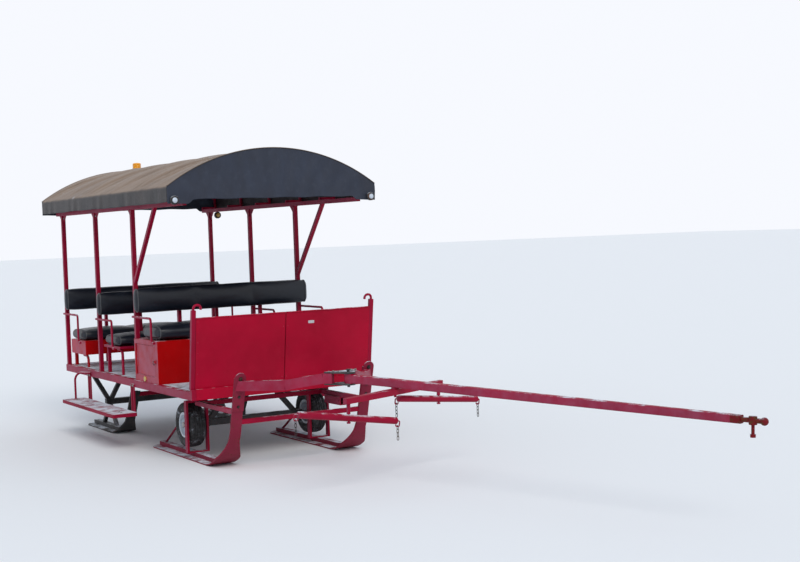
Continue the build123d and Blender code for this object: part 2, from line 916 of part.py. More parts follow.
def make_hitch():
    """Two plates that hold the arms and the tongue, with the upright pin."""
    half = arm_height / 2
    with BuildSketch() as face:
        with BuildLine():
            Polyline((hitch_x - hitch_reach, -hitch_reach), (hitch_x + 20, -52), (hitch_x + 20, 52),
                     (hitch_x - hitch_reach, hitch_reach), close=True)
        make_face()
        with Locations((hitch_x, 0)):
            Circle(58)
    sketch = face.sketch
    plate = extrude(sketch, amount=hitch_plate)
    low = Pos(0, 0, draft_height - half - hitch_plate) * plate
    high = Pos(0, 0, draft_height + half) * plate
    length = arm_height + 2 * hitch_plate + 36
    pin = disc(hitch_x, 0, draft_height, hitch_pin_radius, length, "z")
    head = disc(hitch_x, 0, draft_height + length / 2, hitch_pin_radius + 8, 10, "z")
    return low + high + pin + head


def place_tongue(shape):
    """Moves a piece drawn along +X from the hitch pin to where the tongue points."""
    return Pos(hitch_x, 0, draft_height) * Rot(0, 0, tongue_turn) * Rot(0, tongue_fall, 0) * shape


def make_tongue():
    """Tapered pole with a round tail in the hitch and the boss that carries the evener."""
    root = Pos(60, 0, 0) * Rot(0, 90, 0) * RectangleRounded(tongue_root, tongue_root, 10)
    tip = Pos(tongue_length, 0, 0) * Rot(0, 90, 0) * RectangleRounded(tongue_end, tongue_end, 10)
    pole = loft([root, tip])
    tail_height = arm_height - 2 * tongue_slack
    tail = block(0, 62, -34, 34, -tail_height / 2, tail_height / 2)
    tail += disc(0, 0, 0, 34, tail_height, "z")
    boss_low = -tongue_root / 2 - evener_drop + pin_clearance
    boss = disc(evener_offset, 0, boss_low / 2, boss_radius, -boss_low, "z")
    pin_low = -tongue_root / 2 - evener_drop - evener_height - evener_pin_reach
    pin = disc(evener_offset, 0, pin_low / 2, evener_pin_radius, -pin_low, "z")
    bore = disc(0, 0, 0, hitch_pin_radius + hitch_pin_clearance, 200, "z")
    return pole + tail + boss + pin - bore


def make_tongue_tip():
    """Forged tip: socket, neck, ball and the bolt that hangs below."""
    half = tongue_end / 2
    socket = block(tongue_length, tongue_length + 70, -half, half, -half, half)
    socket = fillet(socket.edges().filter_by(Axis.X), 12)
    neck = rod((tongue_length + 60, 0, 0), (tip_reach, 0, 0), 17)
    ball = Pos(tip_reach, 0, 0) * Sphere(tip_ball_radius)
    x = tongue_length + 150
    collar = disc(x, 0, 0, 27, 54, "z")
    bolt = disc(x, 0, -60, 11, 90, "z")
    nut = disc(x, 0, -100, 18, 20, "z")
    return socket + neck + ball + collar + bolt + nut


def evener_z():
    return -tongue_root / 2 - evener_drop - evener_height / 2


def make_evener_shape():
    """Cross bar under the tongue, thinner at its ends, with a rod that each swing bar hangs on."""
    end = 46
    half = evener_depth / 2
    with BuildSketch() as face:
        with BuildLine():
            Polyline((-end / 2, -evener_half), (-half, -120), (-half, 120), (-end / 2, evener_half),
                     (end / 2, evener_half), (half, 120), (half, -120), (end / 2, -evener_half), close=True)
        make_face()
    shape = Pos(0, 0, -evener_height / 2) * extrude(face.sketch, amount=evener_height)
    shape = fillet(shape.edges().filter_by(Axis.Z), 8)
    for y in (-swing_offset, swing_offset):
        low = -evener_height / 2 - swing_drop
        under = low - 2 * (swing_lift + swing_radius)
        shape += disc(0, y, (low - evener_height / 2) / 2, swing_rod_radius, swing_drop, "z")
        shape += disc(0, y, (low + under) / 2 - 6, swing_pin_radius, low - under + 12, "z")
        shape += disc(0, y, under - 6, swing_rod_radius, 12, "z")
    return shape - disc(0, 0, 0, evener_pin_radius + pin_clearance, 100, "z")


def place_evener(shape):
    return place_tongue(Pos(evener_offset, 0, evener_z()) * Rot(0, 0, evener_turn) * shape)


def make_swing_bar_shape(side):
    """Round bar with bevelled ends, an iron hook at each and an upright bore in the middle."""
    bar_shape = disc(0, 0, 0, swing_radius, 2 * swing_half, "y")
    bar_shape = chamfer(bar_shape.edges(), 6)
    y0 = swing_half - 20
    y1 = swing_half + hook_reach
    hook = bent_rod([(0, y0, 0), (0, y1, 0), (0, y1, -hook_drop), (0, swing_half - 4, -hook_drop),
                     (0, swing_half - 4, 14 - hook_drop)], 10, hook_rod)
    bar_shape = Rot(swing_roll[side], 0, 0) * (bar_shape + hook + mirror(hook, about=Plane.XZ))
    return bar_shape - disc(0, 0, 0, swing_pin_radius + pin_clearance, 4 * swing_radius, "z")


def swing_place(side):
    """Location of a swing bar's middle."""
    low = -evener_height / 2 - swing_drop - swing_lift - swing_radius
    shift = Pos(evener_offset, 0, evener_z()) * Rot(0, 0, evener_turn) * Pos(0, sides[side] * swing_offset, low)
    return place_tongue(shift * Rot(0, 0, swing_turn[side]))


def make_link():
    """Chain link with bevelled corners, long along z and flat in the XZ plane."""
    x = link_inner_width / 2 + link_wire
    z = link_inner_length / 2 + link_wire
    outer = chamfer(Rectangle(2 * x, 2 * z).vertices(), x * 0.5)
    ring = Plane.XZ * (outer - Rectangle(link_inner_width, link_inner_length))
    return Pos(0, link_wire / 2, 0) * extrude(ring, amount=link_wire)


def make_swing_chain(side):
    """Links that hang plumb from both hooks of a swing bar, each turned square to the last."""
    links = []
    yaw = tongue_turn + evener_turn + swing_turn[side]
    pitch = link_inner_length - link_slack
    for end in (-1, 1):
        hook_y = end * (swing_half + hook_reach / 2)
        hook = swing_place(side) * Rot(swing_roll[side], 0, 0) * Pos(0, hook_y, -hook_drop)
        top = hook.position + Vector(0, 0, hook_rod + 0.6 - link_inner_length / 2)
        for i in range(link_count):
            turn = Rot(0, 0, yaw + 90 * (i % 2))
            links.append((Pos(top - Vector(0, 0, pitch * i)) * turn * make_link()).solid())
    return Compound(children=links)


def make_tyre():
    """Left tyre: flat tread, sloped shoulders and side walls down to the beads."""
    half = tyre_width / 2
    bead = rim_width / 2 - bead_inset
    side = (rim_radius + tyre_radius) / 2
    profile = [(-bead, rim_radius), (-half, side), (-half + 6, tyre_radius - 20), (-half + 22, tyre_radius),
               (half - 22, tyre_radius), (half - 6, tyre_radius - 20), (half, side), (bead, rim_radius)]
    with BuildSketch(Plane.YZ) as face:
        with BuildLine():
            Polyline(*profile, close=True)
        make_face()
    tyre = revolve(face.sketch, axis=Axis.Y)
    return Pos(front_axle_x, track_half, axle_height) * tyre


def make_rim():
    """Left rim: flanges, barrel and the dished disc with its hub near the outer face."""
    half = rim_width / 2
    sheet = 5
    bore = spindle_radius + bore_clearance
    barrel = rim_radius - sheet
    profile = [
        (-half, flange_radius), (-half + 6, flange_radius), (-half + 6, rim_radius), (half - 6, rim_radius),
        (half - 6, flange_radius), (half, flange_radius), (half, barrel), (rim_dish, barrel),
        (rim_dish - 8, 58), (rim_dish + 8, 46), (rim_dish + 8, hub_radius), (hub_reach - 6, hub_radius - 4),
        (hub_reach - 6, bore), (-half + 6, bore), (-half + 6, hub_radius), (rim_dish - 12, hub_radius),
        (rim_dish - 16, 58), (rim_dish - 8, barrel), (-half, barrel)]
    with BuildSketch(Plane.YZ) as face:
        with BuildLine():
            Polyline(*profile, close=True)
        make_face()
    rim = revolve(face.sketch, axis=Axis.Y)
    return Pos(front_axle_x, track_half, axle_height) * rim


def build():
    """Every piece by node name."""
    pieces = {
        "deck_frame": make_deck_frame(),
        "deck_board": make_deck_board(),
        "dash_posts": both(make_dash_post()),
        "seat_box": make_seat_box(),
        "bench_middle": make_bench("middle", bench_board_thickness),
        "bench_rear": make_bench("rear", rear_apron_height),
        "backrest_stays": make_backrest_stays(),
        "armrests": make_armrests(),
        "headers": both(make_header()),
        "roof_hoops": make_hoops(),
        "ridge_pole": make_ridge_pole(),
        "canopy_roof": make_roof(),
        "canopy_gable_front": make_gable(roof_front),
        "canopy_gable_rear": make_gable(roof_rear - gable_thickness),
        "beacon_base": make_beacon_base(),
        "beacon_lens": make_beacon_lens(),
        "corner_lamps": make_corner_lamps(),
        "rear_lamp": make_rear_lamp(),
        "reflectors": make_reflectors(),
        "step_hangers": make_step_hangers(),
        "wheel_guards": both(make_wheel_guard()),
        "front_axle": make_front_axle(),
        "rear_axle": make_rear_axle(),
        "runner_ties": make_runner_ties(),
        "cross_bars": make_cross_bars(),
        "receiver": make_receiver(),
        "draft_arms": make_draft_arms(),
        "hitch": make_hitch(),
        "tongue": place_tongue(make_tongue()),
        "tongue_tip": place_tongue(make_tongue_tip()),
        "evener": place_evener(make_evener_shape()),
    }
    for row in seat_fronts:
        pieces["cushion_" + row] = make_cushion(row)
        pieces["backrest_" + row] = make_backrest(row)
    for side in sides:
        pieces["dash_panel_" + side] = on_side(make_dash_panel(), side)
        pieces["box_door_" + side] = on_side(make_box_door(), side)
        pieces["posts_" + side] = on_side(make_posts(), side)
        pieces["step_board_" + side] = on_side(make_step_board(), side)
        pieces["runner_front_" + side] = on_side(make_front_runner(), side)
        pieces["runner_rear_" + side] = on_side(make_rear_runner(), side)
        pieces["tyre_" + side] = on_side(make_tyre(), side)
        pieces["rim_" + side] = on_side(make_rim(), side)
        pieces["swing_bar_" + side] = swing_place(side) * make_swing_bar_shape(side)
        pieces["swing_chain_" + side] = make_swing_chain(side)
    return pieces


for name, shape in build().items():
    export_step(Pos(deck_length / 2, 0, -deck_top) * shape, f"parts/{name}.step")
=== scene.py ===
"""Looks of a horse drawn passenger sleigh with a canopy, on runners.

Metres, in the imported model's frame: +X forward, +Y to the sleigh's left, +Z up, and the
origin at the centre of the deck's top face.
"""
import math

import bpy
import mathutils
import numpy as np
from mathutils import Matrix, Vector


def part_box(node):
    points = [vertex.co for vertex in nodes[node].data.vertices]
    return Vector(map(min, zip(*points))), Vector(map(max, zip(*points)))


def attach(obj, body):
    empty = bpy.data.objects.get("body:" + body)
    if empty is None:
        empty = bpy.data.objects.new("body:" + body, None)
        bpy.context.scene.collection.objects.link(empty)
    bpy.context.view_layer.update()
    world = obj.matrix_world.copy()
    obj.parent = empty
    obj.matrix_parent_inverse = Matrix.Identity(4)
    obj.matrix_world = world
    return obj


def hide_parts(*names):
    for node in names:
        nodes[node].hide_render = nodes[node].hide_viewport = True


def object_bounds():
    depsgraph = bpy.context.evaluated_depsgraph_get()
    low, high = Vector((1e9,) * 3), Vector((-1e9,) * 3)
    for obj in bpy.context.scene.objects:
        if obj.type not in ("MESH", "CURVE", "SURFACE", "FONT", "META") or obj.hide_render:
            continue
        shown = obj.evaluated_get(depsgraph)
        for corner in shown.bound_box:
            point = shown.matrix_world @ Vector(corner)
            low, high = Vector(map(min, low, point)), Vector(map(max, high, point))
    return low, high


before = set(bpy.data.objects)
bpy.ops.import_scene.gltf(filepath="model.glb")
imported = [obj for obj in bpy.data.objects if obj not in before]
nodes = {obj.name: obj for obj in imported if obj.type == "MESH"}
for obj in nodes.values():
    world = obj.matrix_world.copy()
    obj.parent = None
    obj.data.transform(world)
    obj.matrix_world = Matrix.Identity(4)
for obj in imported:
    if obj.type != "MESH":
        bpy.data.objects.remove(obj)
model_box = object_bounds()
floor_z = model_box[0][2]

# Sizes of the canopy's cloth
valance_drop = 0.142
cloth_thickness = 0.003
cloth_clearance = 0.0005
eave_rounding = 0.035
hoop_count = 6
hoop_inset = 0.0325
bay_sag = 0.021
fold_depth = 0.020
creases = ((0.34, 0.055, 1.0), (-0.30, 0.07, 0.7), (0.12, 0.045, 0.5))  # slope, width, share of fold_depth
hem_ripple = 0.005
cover_rows = 201
cover_columns = 151
flap_width = 0.25
flap_ramp = 0.06
flap_drop = 0.036
gable_rows = 61
gable_columns = 161
piping_radius = 0.0055

# Sizes of the pads
pad_voxel = 0.015
pad_frames = 20
pad_cap = 0.02
pad_shrink = 0.006
pad_pressure = 4.0
pad_rows = 120
pad_columns = 72
end_bow = 0.16

# Sizes of the wheels
tread_blocks = 44
block_steps = 9
groove_places = (-0.036, -0.012, 0.012, 0.036)
groove_half = 0.0042
groove_depth = 0.007
bead_radius = 0.1020
tyre_columns = 90
nut_count = 4
nut_circle = 0.040
nut_stand = 0.042
cap_stand = 0.066
valve_place = (0.075, 0.027)

# Sizes of the frame's fittings
tip = 1e-5  # radius where a turned shape closes
bolt_radius = 0.011
screw_radius = 0.0035
dash_lean = math.radians(8.5)
dash_slope_height = 0.635
rivets_per_edge = 7
post_places = (0.410, -0.710, -1.820)
post_half = 0.0205
hanger_places = (0.330, -1.000)
nose_sweep = math.radians(74)
nose_head = (2.2602, 0.625, 0.1312)
staple_stand = 0.016
leaf_thickness = 0.003
link_count = 4
link_pitch = 0.0279
link_half = 0.019


# Shader expressions

class Flow:
    """A shader socket used in an expression: each operator adds its Math node."""

    def __init__(self, tree, socket):
        self.tree = tree
        self.socket = socket

    def math(self, operation, *others):
        return self.tree.node("ShaderNodeMath", {"operation": operation}, dict(enumerate((self, *others))))

    def __add__(self, other):
        return self.math("ADD", other)

    __radd__ = __add__

    def __mul__(self, other):
        return self.math("MULTIPLY", other)

    __rmul__ = __mul__

    def __sub__(self, other):
        return self.math("SUBTRACT", other)

    def __rsub__(self, other):
        return self.tree.node("ShaderNodeMath", {"operation": "SUBTRACT"}, {0: other, 1: self})

    def __truediv__(self, other):
        return self.math("DIVIDE", other)

    def sibling(self, name):
        """Another output of the same node."""
        return Flow(self.tree, self.socket.node.outputs[name])

    def step(self, low, high):
        """0 below low, 1 above high and a straight ramp between them."""
        return self.tree.node("ShaderNodeMapRange", {"clamp": True},
                              {"Value": self, "From Min": low, "From Max": high})


class Tree:
    """The emptied node tree of a material or of the world."""

    def __init__(self, owner):
        owner.use_nodes = True
        self.tree = owner.node_tree
        self.tree.nodes.clear()

    def node(self, kind, settings=None, values=None, out=0):
        """Any node: its settings first, then its sockets' values or links, by name or number."""
        node = self.tree.nodes.new(kind)
        for key, value in (settings or {}).items():
            setattr(node, key, value)
        for key, value in (values or {}).items():
            self.feed(node.inputs[key], value)
        return Flow(self, node.outputs[out]) if node.outputs else None

    def feed(self, socket, value):
        if isinstance(value, Flow):
            self.tree.links.new(value.socket, socket)
        elif isinstance(value, tuple) and len(value) == 3 and socket.type == "RGBA":
            socket.default_value = value + (1.0,)
        else:
            socket.default_value = value


class Finish(Tree):
    """A material under construction, on Object coordinates in metres."""

    def __init__(self, name):
        self.material = bpy.data.materials.new(name)
        super().__init__(self.material)
        self.place = self.node("ShaderNodeTexCoord", out="Object")
        self.normal = self.place.sibling("Normal")

    def stretched(self, scale, turn=(0, 0, 0)):
        """The place, scaled along each axis."""
        return self.node("ShaderNodeMapping", {}, {"Vector": self.place, "Scale": scale, "Rotation": turn})

    def noise(self, scale, detail=4.0, roughness=0.55, place=None):
        return self.node("ShaderNodeTexNoise", {}, {
            "Vector": place or self.place, "Scale": scale, "Detail": detail, "Roughness": roughness})

    def cells(self, scale):
        return self.node("ShaderNodeTexVoronoi", {"feature": "F1"},
                         {"Vector": self.place, "Scale": scale}, out="Distance")

    def axis(self, vector, name):
        return self.node("ShaderNodeSeparateXYZ", {}, {"Vector": vector}, out=name)

    def blend(self, factor, first, second):
        """Colour between first, at factor 0, and second, at factor 1."""
        return self.node("ShaderNodeMix", {"data_type": "RGBA"}, {0: factor, 6: first, 7: second}, out=2)

    def bump(self, height, strength, distance):
        return self.node("ShaderNodeBump", {}, {"Height": height, "Strength": strength, "Distance": distance})

    def close(self, colour, roughness, normal=None, **fixed):
        """Adds the surface shader and returns the material. fixed are socket values, spaces as _."""
        values = {"Base Color": colour, "Roughness": roughness}
        if normal is not None:
            values["Normal"] = normal
        for key, value in fixed.items():
            values[key.replace("_", " ")] = value
        surface = self.node("ShaderNodeBsdfPrincipled", {}, values)
        self.node("ShaderNodeOutputMaterial", {}, {"Surface": surface})
        return self.material


def frosted(f, colour, roughness, amount):
    """Colour and roughness with a dusting of frost on what faces up, in patches of 20 to 200 mm."""
    up = f.axis(f.normal, "Z").step(0.45, 0.95)
    patch = f.noise(7.0, 8.0, 0.68)
    grain = f.noise(190.0, 2.0)
    mask = (patch + grain * 0.12).step(0.62 - amount * 0.22, 0.72 - amount * 0.12) * up * 0.9
    return f.blend(mask, colour, (0.72, 0.79, 0.88)), roughness + mask * 0.3, mask


# Materials

def red_paint(name, base, worn, gloss, frost, film_and_sheen=0.0):
    """Brushed enamel on steel: tone drifts, fine peel, scratches, chips to dark primer and grime.

    The last argument is how strongly a painted sky reflection, a bluish pink, tints what faces sideways.
    """
    f = Finish(name)
    dark = tuple(c * 0.72 for c in base)
    faded = tuple(c * 0.88 + 0.004 for c in base)
    broad = f.noise(1.7, 3.0)
    mottled = f.noise(11.0, 7.0, 0.62)
    colour = f.blend(broad.step(0.3, 0.7), base, dark)
    colour = f.blend(mottled.step(0.5, 0.75) * 0.45, colour, faded)
    lines = f.noise(5.0, 3.0, 0.5, f.stretched((1.0, 26.0, 26.0), (0.3, 0.5, 0.2)))
    scratch = lines.step(0.66, 0.70) * mottled.step(0.45, 0.6)
    colour = f.blend(scratch * 0.3, colour, tuple(c * 0.6 + 0.05 for c in base))
    speck = f.noise(48.0, 5.0, 0.7)
    chip = (speck + mottled * 0.5).step(1.02 - worn * 0.12, 1.05 - worn * 0.12)
    rust = f.blend(f.noise(80.0, 3.0), (0.05, 0.022, 0.014), (0.16, 0.055, 0.02))
    colour = f.blend(chip, colour, rust)
    grime = f.noise(3.0, 9.0, 0.72).step(0.48, 0.8) * 0.35
    colour = f.blend(grime, colour, tuple(c * 0.45 + 0.004 for c in base))
    # Painted reflection: faces that point sideways are tinted bluish pink, as if catching the pale sky.
    side = f.axis(f.normal, "Y").math("ABSOLUTE").step(0.4, 0.95)
    colour = f.blend(side * mottled.step(0.15, 0.6) * film_and_sheen, colour, (0.40, 0.34, 0.52))
    rough = gloss + mottled * 0.14 + chip * 0.4 + grime * 0.4
    colour, rough, snow = frosted(f, colour, rough, frost)
    peel = f.noise(170.0, 2.0) * 0.35 + mottled * 0.5 - chip * 1.2 + snow * 0.8
    return f.close(colour, rough, f.bump(peel, 0.35, 0.0012), Specular_IOR_Level=0.12)


def black_steel():
    """Undercarriage: black paint gone grey with road film, rust at the pits."""
    f = Finish("black_undercarriage")
    film_and_sheen = f.noise(6.0, 8.0, 0.68)
    pits = f.noise(70.0, 5.0, 0.7)
    colour = f.blend(film_and_sheen.step(0.42, 0.75), (0.012, 0.012, 0.014), (0.075, 0.072, 0.075))
    rust = (pits + film_and_sheen * 0.4).step(0.80, 0.88)
    colour = f.blend(rust * 0.8, colour, (0.13, 0.05, 0.022))
    rough = 0.42 + film_and_sheen * 0.3 + rust * 0.2
    colour, rough, snow = frosted(f, colour, rough, 0.45)
    return f.close(colour, rough, f.bump(pits * 0.6 + snow * 0.8, 0.4, 0.0012), Metallic=0.15)


def bare_metal(name, tone):
    """Bare iron or zinc: scale, brown oxide in the lows, rubbed highs."""
    f = Finish(name)
    scale = f.noise(42.0, 7.0, 0.66)
    broad = f.noise(9.0, 4.0)
    low = (tone * 0.45, tone * 0.42, tone * 0.40)
    colour = f.blend(scale.step(0.35, 0.65), low, (tone, tone, tone * 1.02))
    colour = f.blend((broad + scale * 0.4).step(0.72, 0.9) * 0.7, colour, (0.14, 0.06, 0.03))
    rough = 0.34 + scale * 0.3
    return f.close(colour, rough, f.bump(scale, 0.5, 0.0009), Metallic=0.75)


def deck_planks():
    """Boards 140 mm wide along the deck, with grain, worn paint between them and trodden frost."""
    f = Finish("deck_planks")
    across = f.axis(f.place, "Y") / 0.14
    cell = across.math("FLOOR")
    within = across - cell
    gap = 1.0 - within.step(0.0, 0.03) * (1.0 - within.step(0.97, 1.0))
    tone = f.node("ShaderNodeTexWhiteNoise", {"noise_dimensions": "1D"}, {"W": cell})
    grain = f.noise(7.0, 9.0, 0.62, f.stretched((0.5, 14.0, 14.0)))
    colour = f.blend(grain.step(0.3, 0.7), (0.060, 0.036, 0.026), (0.175, 0.125, 0.095))
    colour = f.blend(tone * 0.4, colour, (0.10, 0.082, 0.075))
    colour = f.blend(gap, colour, (0.006, 0.005, 0.005))
    colour, rough, snow = frosted(f, colour, 0.66 + grain * 0.2, 1.15)
    height = grain * 0.5 - gap * 3.0 + snow * 2.0
    return f.close(colour, rough, f.bump(height, 0.5, 0.002))


def black_vinyl():
    """Upholstery vinyl: pebbled grain, broad creases, a cold sheen and a little dust in the folds."""
    f = Finish("seat_vinyl")
    pebble = f.cells(420.0)
    crease = f.noise(9.0, 6.0, 0.6, f.stretched((1.6, 0.55, 1.6)))
    dust = f.noise(26.0, 6.0, 0.7).step(0.56, 0.82)
    colour = f.blend(crease.step(0.35, 0.7), (0.0050, 0.0070, 0.0130), (0.011, 0.015, 0.025))
    colour = f.blend(dust * 0.15, colour, (0.07, 0.08, 0.10))
    rough = 0.30 + crease * 0.14 + dust * 0.2
    height = pebble * 0.25 + crease.step(0.45, 0.6) * 0.6
    return f.close(colour, rough, f.bump(height, 0.45, 0.0016), Specular_IOR_Level=0.40)


def seat_piping():
    """Grey cord covers on the pads' welts."""
    f = Finish("seat_piping")
    grain = f.noise(160.0, 3.0)
    return f.close(f.blend(grain, (0.035, 0.037, 0.042), (0.075, 0.08, 0.09)), 0.42 + grain * 0.15)


def roof_cloth():
    """Coated tarpaulin: basket weave, tan where it faces up and near black where it hangs upright, dark
    streaks that are partly painted crease shade, and frost in the folds.
    """
    f = Finish("roof_cloth")
    x = f.axis(f.place, "X")
    z = f.axis(f.place, "Z")
    y = f.axis(f.place, "Y")
    weave = (x * 1900.0).math("SINE") * (y * 1900.0 + z * 1900.0).math("SINE")
    up = f.axis(f.normal, "Z")
    broad = f.noise(1.9, 5.0, 0.6)
    # Dark streaks across the cover: partly weathering, partly painted shade standing in for the creases.
    streak_and_crease_shade = f.noise(3.0, 7.0, 0.66, f.stretched((7.0, 0.8, 0.8)))
    # Tan where the cloth faces up, near black where it hangs upright as the valance.
    colour = f.blend(up.step(0.1, 0.6), (0.021, 0.019, 0.022), (0.225, 0.155, 0.108))
    colour = f.blend(broad.step(0.4, 0.75) * 0.45, colour, (0.075, 0.056, 0.048))
    colour = f.blend(streak_and_crease_shade.step(0.55, 0.8) * 0.5, colour, (0.030, 0.025, 0.025))
    patch = f.noise(4.2, 9.0, 0.70)
    snow = (patch + f.noise(120.0, 2.0) * 0.08).step(0.66, 0.73) * up.step(0.1, 0.5) * 0.85
    colour = f.blend(snow, colour, (0.70, 0.76, 0.84))
    rough = 0.40 + streak_and_crease_shade * 0.2 + snow * 0.2
    height = weave * 0.12 + broad * 0.8 + streak_and_crease_shade * 0.5 + snow * 1.4
    return f.close(colour, rough, f.bump(height, 0.5, 0.003), Specular_IOR_Level=0.35)


def gable_cloth():
    """Navy black end cloth with faint vertical folds and a fine weave."""
    f = Finish("gable_cloth")
    y = f.axis(f.place, "Y")
    z = f.axis(f.place, "Z")
    weave = (y * 1900.0).math("SINE") * (z * 1900.0).math("SINE")
    fold = f.noise(3.2, 5.0, 0.6, f.stretched((1.0, 1.7, 0.7), (0.5, 0, 0)))
    dust = f.noise(14.0, 8.0, 0.7).step(0.52, 0.85)
    colour = f.blend(fold.step(0.35, 0.7), (0.0080, 0.0120, 0.0260), (0.019, 0.027, 0.050))
    colour = f.blend(dust * 0.18, colour, (0.08, 0.095, 0.13))
    return f.close(colour, 0.55 + fold * 0.2, f.bump(weave * 0.1 + fold * 1.5, 0.5, 0.004))


def rim_paint():
    """White wheel paint under a grey film, with rust at its chips."""
    f = Finish("rim_paint")
    film_and_sheen = f.noise(22.0, 8.0, 0.7)
    colour = f.blend(film_and_sheen.step(0.45, 0.8), (0.60, 0.66, 0.72), (0.26, 0.27, 0.29))
    rust = f.noise(60.0, 5.0, 0.7).step(0.68, 0.74)
    colour = f.blend(rust, colour, (0.15, 0.06, 0.03))
    return f.close(colour, 0.34 + film_and_sheen * 0.3 + rust * 0.3, f.bump(film_and_sheen - rust, 0.3, 0.001))


def tyre_rubber():
    """Rubber with road dust and a thin rime in patches."""
    f = Finish("tyre_rubber")
    dust = f.noise(18.0, 8.0, 0.7)
    pores = f.noise(240.0, 2.0)
    colour = f.blend(dust.step(0.45, 0.8), (0.010, 0.010, 0.011), (0.075, 0.075, 0.08))
    rime = (f.noise(13.0, 8.0, 0.72) + pores * 0.15).step(0.62, 0.74) * 0.5
    colour = f.blend(rime, colour, (0.46, 0.50, 0.56))
    return f.close(colour, 0.62 + dust * 0.25, f.bump(pores * 0.3 + dust * 0.5, 0.4, 0.0012))


def lens(name, colour, glow):
    """Moulded lens: ribs too fine to model, colour from within."""
    f = Finish(name)
    z = f.axis(f.place, "Z")
    ribs = (z * 900.0).math("SINE")
    cloud = f.noise(60.0, 3.0)
    tint = f.blend(cloud.step(0.3, 0.7), colour, tuple(min(1.0, c * 1.25) for c in colour))
    emission = tuple(c * glow for c in colour)
    return f.close(tint, 0.16 + cloud * 0.1, f.bump(ribs, 0.35, 0.0012), Emission_Color=emission,
                   Emission_Strength=1.0, Coat_Weight=0.6)


def reflector_glass():
    """Amber reflector with small facets."""
    f = Finish("reflector")
    facet = f.cells(330.0)
    colour = f.blend(facet.step(0.1, 0.7), (0.85, 0.62, 0.05), (0.42, 0.26, 0.02))
    return f.close(colour, 0.2, f.bump(facet, 0.8, 0.002), Coat_Weight=0.5)


sheet_red = (0.430, 0.0010, 0.0260)
box_red = (0.470, 0.0010, 0.0020)
# tube_red is partly painted reflection: its blue share is raised to copy a bluish sky sheen on the rails.
tube_red = (0.340, 0.0030, 0.0320)
step_red = (0.30, 0.004, 0.034)
forging_red = (0.20, 0.010, 0.016)
runner_red = (0.250, 0.020, 0.048)
label_grey = (0.62, 0.62, 0.66)
finishes = {
    "sheet": red_paint("red_sheet_enamel", sheet_red, 0.2, 0.36, 0.3),
    "box": red_paint("red_box_enamel", box_red, 0.3, 0.36, 0.35, 0.24),
    "tube": red_paint("red_tube_enamel", tube_red, 0.65, 0.40, 0.28, 0.12),
    "step": red_paint("red_step_enamel", step_red, 1.0, 0.46, 0.9),
    "forged": red_paint("red_worn_forging", forging_red, 1.9, 0.42, 0.2),
    "runner": red_paint("red_runner_enamel", runner_red, 1.1, 0.48, 0.85),
    "label": red_paint("pale_label", label_grey, 0.3, 0.5, 0.2),
    "black": black_steel(),
    "zinc": bare_metal("zinc_fasteners", 0.46),
    "iron": bare_metal("dark_iron", 0.05),
    "deck": deck_planks(),
    "vinyl": black_vinyl(),
    "piping": seat_piping(),
    "roof": roof_cloth(),
    "gable": gable_cloth(),
    "rim": rim_paint(),
    "tyre": tyre_rubber(),
    "amber": lens("amber_lens", (0.72, 0.30, 0.008), 0.15),
    "clear": lens("clear_lens", (0.46, 0.52, 0.60), 0.0),
    "ochre": lens("ochre_lens", (0.42, 0.26, 0.04), 0.0),
    "reflector": reflector_glass(),
}

node_finishes = {
    "sheet": ["dash_panel_left", "dash_panel_right"],
    "box": ["seat_box", "box_door_left", "box_door_right", "bench_rear"],
    "tube": ["deck_frame", "dash_posts", "bench_middle", "backrest_stays", "armrests", "posts_left",
             "posts_right", "headers", "roof_hoops", "ridge_pole", "wheel_guards", "runner_ties",
             "cross_bars", "receiver", "draft_arms", "tongue", "evener", "swing_bar_left",
             "swing_bar_right"],
    "step": ["step_board_left", "step_board_right", "step_hangers"],
    "black": ["front_axle", "rear_axle", "runner_rear_left", "runner_rear_right", "hitch", "beacon_base"],
    "forged": ["tongue_tip"],
    "runner": ["runner_front_left", "runner_front_right"],
    "iron": ["swing_chain_left", "swing_chain_right"],
    "deck": ["deck_board"],
    "vinyl": ["cushion_front", "cushion_middle", "cushion_rear", "backrest_front", "backrest_middle",
              "backrest_rear"],
    "roof": ["canopy_roof"],
    "gable": ["canopy_gable_front", "canopy_gable_rear"],
    "rim": ["rim_left", "rim_right"],
    "tyre": ["tyre_left", "tyre_right"],
    "amber": ["beacon_lens"],
    "clear": ["corner_lamps"],
    "ochre": ["rear_lamp"],
    "reflector": ["reflectors"],
}
for finish, names in node_finishes.items():
    for name in names:
        for slot in nodes[name].material_slots:
            slot.link = "OBJECT"
            slot.material = finishes[finish]


# Mesh helpers

def corners(node):
    """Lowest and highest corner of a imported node, as arrays."""
    low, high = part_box(node)
    return np.array(low), np.array(high)


def mesh_points(mesh):
    """The mesh's vertices as an array of rows."""
    points = np.empty(len(mesh.vertices) * 3)
    mesh.vertices.foreach_get("co", points)
    return points.reshape(-1, 3)


def mesh_piece(name, points, faces, finish, body="sleigh", smooth=True):
    """A new piece from arrays of points and faces, riding on a body."""
    mesh = bpy.data.meshes.new(name)
    mesh.from_pydata(points.reshape(-1, 3).tolist(), [], faces.tolist())
    mesh.update()
    mesh.polygons.foreach_set("use_smooth", [smooth] * len(mesh.polygons))
    piece = bpy.data.objects.new(name, mesh)
    bpy.context.scene.collection.objects.link(piece)
    mesh.materials.append(finishes[finish])
    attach(piece, body)
    return piece


def joined(name, shapes, finish, body="sleigh", smooth=True):
    """One piece from many (points, faces) pairs."""
    points = [shape.reshape(-1, 3) for shape, quads in shapes]
    starts = np.cumsum([0] + [len(rows) for rows in points])
    faces = [quads + start for (shape, quads), start in zip(shapes, starts)]
    return mesh_piece(name, np.concatenate(points), np.concatenate(faces), finish, body, smooth)


